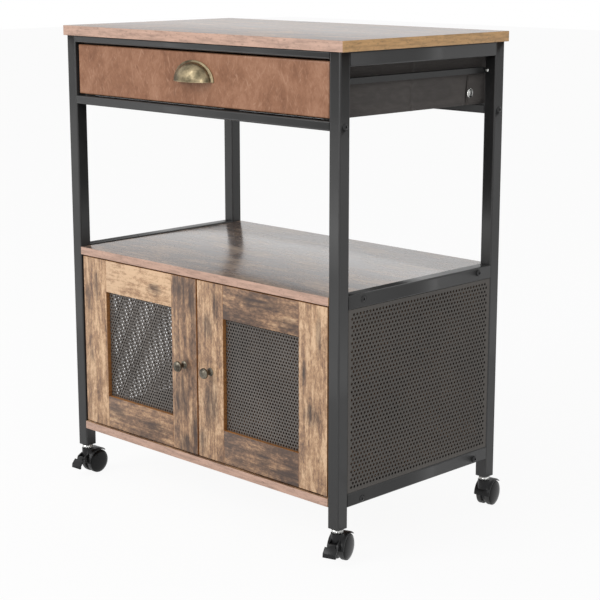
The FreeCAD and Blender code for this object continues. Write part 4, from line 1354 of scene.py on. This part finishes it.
for side in FLAP_STARTS:
    flap(side)
print("flaps", round(FLAP_LENGTH, 4), "m long")


# %% [markdown]
# Two rows of stitches hold the hem, and one runs round three edges of each flap.  Each line is
# walked at the thread's own pitch, and a small ball, drawn long along the line, stands on each
# step.

# %% Stitches as a node tree
def stitch_tree():
    """Grains of thread along the edges of a start mesh."""
    build, given = new_tree("Stitches", takes_points=True, Pitch=0.0042, Stitch_Length=0.0028,
                            Thread_Radius=0.0003)
    line = build.add("GeometryNodeMeshToCurve", Mesh=given["Points"]).outputs[0]
    even = build.add("GeometryNodeResampleCurve", [("mode", "LENGTH")], Curve=line,
                     Length=given["Pitch"]).outputs[0]
    grain = build.add("GeometryNodeMeshIcoSphere", Radius=1.0, Subdivisions=1).outputs[0]
    half = build.math("MULTIPLY", given["Stitch Length"], 0.5)
    scale = build.vector(given["Thread Radius"], given["Thread Radius"], half)
    grain = build.add("GeometryNodeTransform", Geometry=grain, Scale=scale).outputs[0]
    tangent = build.add("GeometryNodeInputTangent").outputs[0]
    turned = build.add("FunctionNodeAlignRotationToVector", [("axis", "Z")],
                       Vector=tangent).outputs[0]
    grains = build.add("GeometryNodeInstanceOnPoints", Points=even, Instance=grain,
                       Rotation=turned).outputs[0]
    smooth = build.add("GeometryNodeRealizeInstances", Geometry=grains).outputs[0]
    smooth = build.add("GeometryNodeSetShadeSmooth", Geometry=smooth).outputs[0]
    return build.finish(smooth, given["Finish"])


# %% Stitches of the hem and the flaps
HEM_STITCHES = (60.5 * MM, 70.0 * MM)
HEM_STEPS, FLAP_LINE_STEPS = 400, 30
HEM_LIFT = 0.15 * MM
FLAP_LIFT = FLAP_THICK + 0.1 * MM
FLAP_MARGIN = 2.2 * MM
GRAIN_FACES = 20


def stitch_lines():
    """Lines of points on the cloth: two round the hem, and one round each flap."""
    lines = [[on_box(ROUND_TRIP * step / HEM_STEPS, height, HEM_LIFT)
              for step in range(HEM_STEPS + 1)] for height in HEM_STITCHES]
    low, high = FLAP_FOOT + FLAP_MARGIN, FLAP_TOP - FLAP_MARGIN
    shares = [step / FLAP_LINE_STEPS for step in range(FLAP_LINE_STEPS + 1)]
    for start in FLAP_STARTS.values():
        first, last = start + FLAP_MARGIN, start + FLAP_LENGTH - FLAP_MARGIN
        spots = [(first, high + (low - high) * share) for share in shares]
        spots += [(first + (last - first) * share, low) for share in shares[1:]]
        spots += [(last, low + (high - low) * share) for share in shares[1:]]
        lines.append([on_box(distance, height, FLAP_LIFT) for distance, height in spots])
    return lines


mesh = bpy.data.meshes.new("stitch lines")
points, edges = [], []
for line in stitch_lines():
    edges += [(len(points) + step, len(points) + step + 1) for step in range(len(line) - 1)]
    points += line
mesh.from_pydata(points, edges, [])
stitches = grown("box_stitches", stitch_tree(), {"Finish": thread}, mesh)
finish_piece(stitches, "box_fabric", body=body_of("drawer_box"))
print("stitches", len(stitches.data.polygons) // GRAIN_FACES)


# %% [markdown]
# Knobs, snaps and wheels are all turned forms.  A turned form is a profile of radius and height
# carried round an axis.  Blender has a Screw modifier for that, but a few lines that build the
# rings give each ring its own material and keep the poles closed.

# %% Turned forms
def turned(name, profile, foot, axis, segments, materials):
    """Carry a profile of (radius, height, material index) in millimetres round an axis."""
    lean = Vector(axis).to_track_quat("Z", "Y").to_matrix()
    verts = []
    for radius, height, _ in profile:
        for step in range(segments):
            angle = 2 * math.pi * step / segments
            spot = Vector((radius * math.cos(angle), radius * math.sin(angle), height)) * MM
            verts.append(Vector(foot) + lean @ spot)
    finish = [index for _, _, index in profile[1:] for _ in range(segments)]
    return new_piece(name, verts, ring_faces(len(profile), segments), *materials, finish=finish)


# %% [markdown]
# The door knobs are cast and turned: a thin foot plate, a waisted neck and a broad head with a
# few fine grooves round its crown.  The profile runs from the foot to the crown, and its points
# are closest where the light draws a line, at the rims and the grooves.

# %% Door knobs
KNOB = [
    (0, 0.05, 0), (6.2, 0.05, 0), (6.2, 0.9, 0), (5.9, 1.35, 0), (5.0, 1.6, 0), (3.9, 2.3, 0),
    (3.4, 3.6, 0), (3.3, 5.6, 0), (3.5, 7.6, 0), (4.4, 9.2, 0), (6.0, 10.4, 0), (7.5, 11.6, 0),
    (8.05, 12.5, 0), (8.2, 13.4, 0), (8.1, 14.4, 0), (7.6, 15.3, 0), (7.0, 15.8, 0),
    (6.7, 15.75, 0), (6.4, 15.95, 0), (5.2, 16.9, 0), (4.5, 17.3, 0), (4.1, 17.2, 0),
    (3.8, 17.4, 0), (2.6, 17.75, 0), (1.2, 17.95, 0), (0, 18.0, 0),
]
for side in ("left", "right"):
    node = "door_" + side + "_knob"
    low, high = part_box(node)
    foot = ((low.x + high.x) / 2, high.y, (low.z + high.z) / 2)
    knob = turned("turned_knob_" + side, KNOB, foot, (0, -1, 0), 56, [pewter])
    finish_piece(smoothed(knob, 42), "aged_brass", node)
print("knob", KNOB[-1][1], "mm high")


# %% [markdown]
# A bright snap button closes each corner flap.  The record has both in one node, so the two turned
# caps are joined into one piece, which then stands for that node.

# %% Snap buttons
SNAP = [(0, -0.4, 0), (7.0, -0.4, 0), (7.0, 0.5, 0), (6.6, 1.1, 0), (5.6, 1.5, 0), (4.8, 1.5, 0),
        (4.4, 1.3, 0), (4.0, 1.5, 0), (3.2, 1.9, 0), (1.8, 2.15, 0), (0, 2.2, 0)]
snap_middle = middle_of("snap_buttons")
snap_caps = [turned("snap_" + side, SNAP, (across * box_half.x, snap_middle.y, snap_middle.z),
                    (across, 0, 0), 40, [bright_steel])
             for side, across in (("right", 1), ("left", -1))]


def joined(name, objects):
    """One object from several plain ones."""
    work = bmesh.new()
    mesh = bpy.data.meshes.new(name)
    for obj in objects:
        work.from_mesh(obj.data)
    for material in objects[0].data.materials:
        mesh.materials.append(material)
    work.to_mesh(mesh)
    work.free()
    for obj in objects:
        bpy.data.objects.remove(obj)
    return link(bpy.data.objects.new(name, mesh))


finish_piece(smoothed(joined("box_snaps", snap_caps), 35), "bright_steel", "snap_buttons")
print("snaps", 2 * max(radius for radius, _, _ in SNAP), "mm wide")


# %% [markdown]
# Each caster carries two wheels.  A wheel has a matte rolling band and a smooth domed cover that
# snaps into it, with a fine gap between them.  The wheel joints give each wheel's axle, and the
# side of the axle that its CAD solid lies on says which way the cover looks.

# %% Wheels
WHEEL = [
    (0, 11.6, 1), (3.05, 11.6, 1), (3.05, 3.3, 1), (12.0, 3.3, 0), (17.4, 3.3, 0), (18.3, 3.5, 0),
    (18.85, 4.1, 0), (19.0, 4.9, 0), (19.0, 9.7, 0), (18.8, 10.3, 0), (18.2, 10.75, 0),
    (17.85, 10.8, 0), (17.75, 10.3, 0), (17.45, 10.3, 0), (17.35, 10.9, 1), (17.0, 11.35, 1),
    (15.8, 11.95, 1), (14.0, 12.5, 1), (11.5, 13.0, 1), (8.6, 13.4, 1), (5.4, 13.65, 1),
    (2.4, 13.78, 1), (0, 13.8, 1),
]
wheel_rows = [row for row in frame["joints"] if row["name"].startswith("wheel_")]
for row in wheel_rows:
    node = row["name"].replace("_spin", "")
    hub = Vector(row["pos_m"])
    axis = Vector(row["axis"]).normalized()
    if (middle_of(node) - hub).dot(axis) < 0:
        axis = -axis
    wheel = turned(node + "_turned", WHEEL, hub, axis, 72, [tread_nylon, dome_nylon])
    finish_piece(smoothed(wheel, 30), "caster_nylon", node)
print(len(wheel_rows), "wheels")


# %% [markdown]
# The hoods, brake levers and stems have the right shape in the CAD model, so each is a merged copy
# with smooth shading.  The levers are thin plates with sharp rims, and a small bevel gives those a
# line of light.

# %% Hoods, levers and stems
LEVER_EASE = 0.45 * MM

made = 0
for node in nodes:
    if node.startswith(("caster_hood", "brake_lever")):
        part = merged_copy(node, node + "_nylon", hood_nylon)
        if node.startswith("caster_hood"):
            smoothed(part, 28)
        else:
            ease_edges(part, LEVER_EASE, 2, 35)
        finish_piece(part, "caster_nylon", node)
        made += 1
stems = smoothed(merged_copy("caster_stems", "bright_stems", bright_steel, flat_angle=0), 30)
finish_piece(stems, "bright_steel", "caster_stems")
print(made, "hoods and levers")
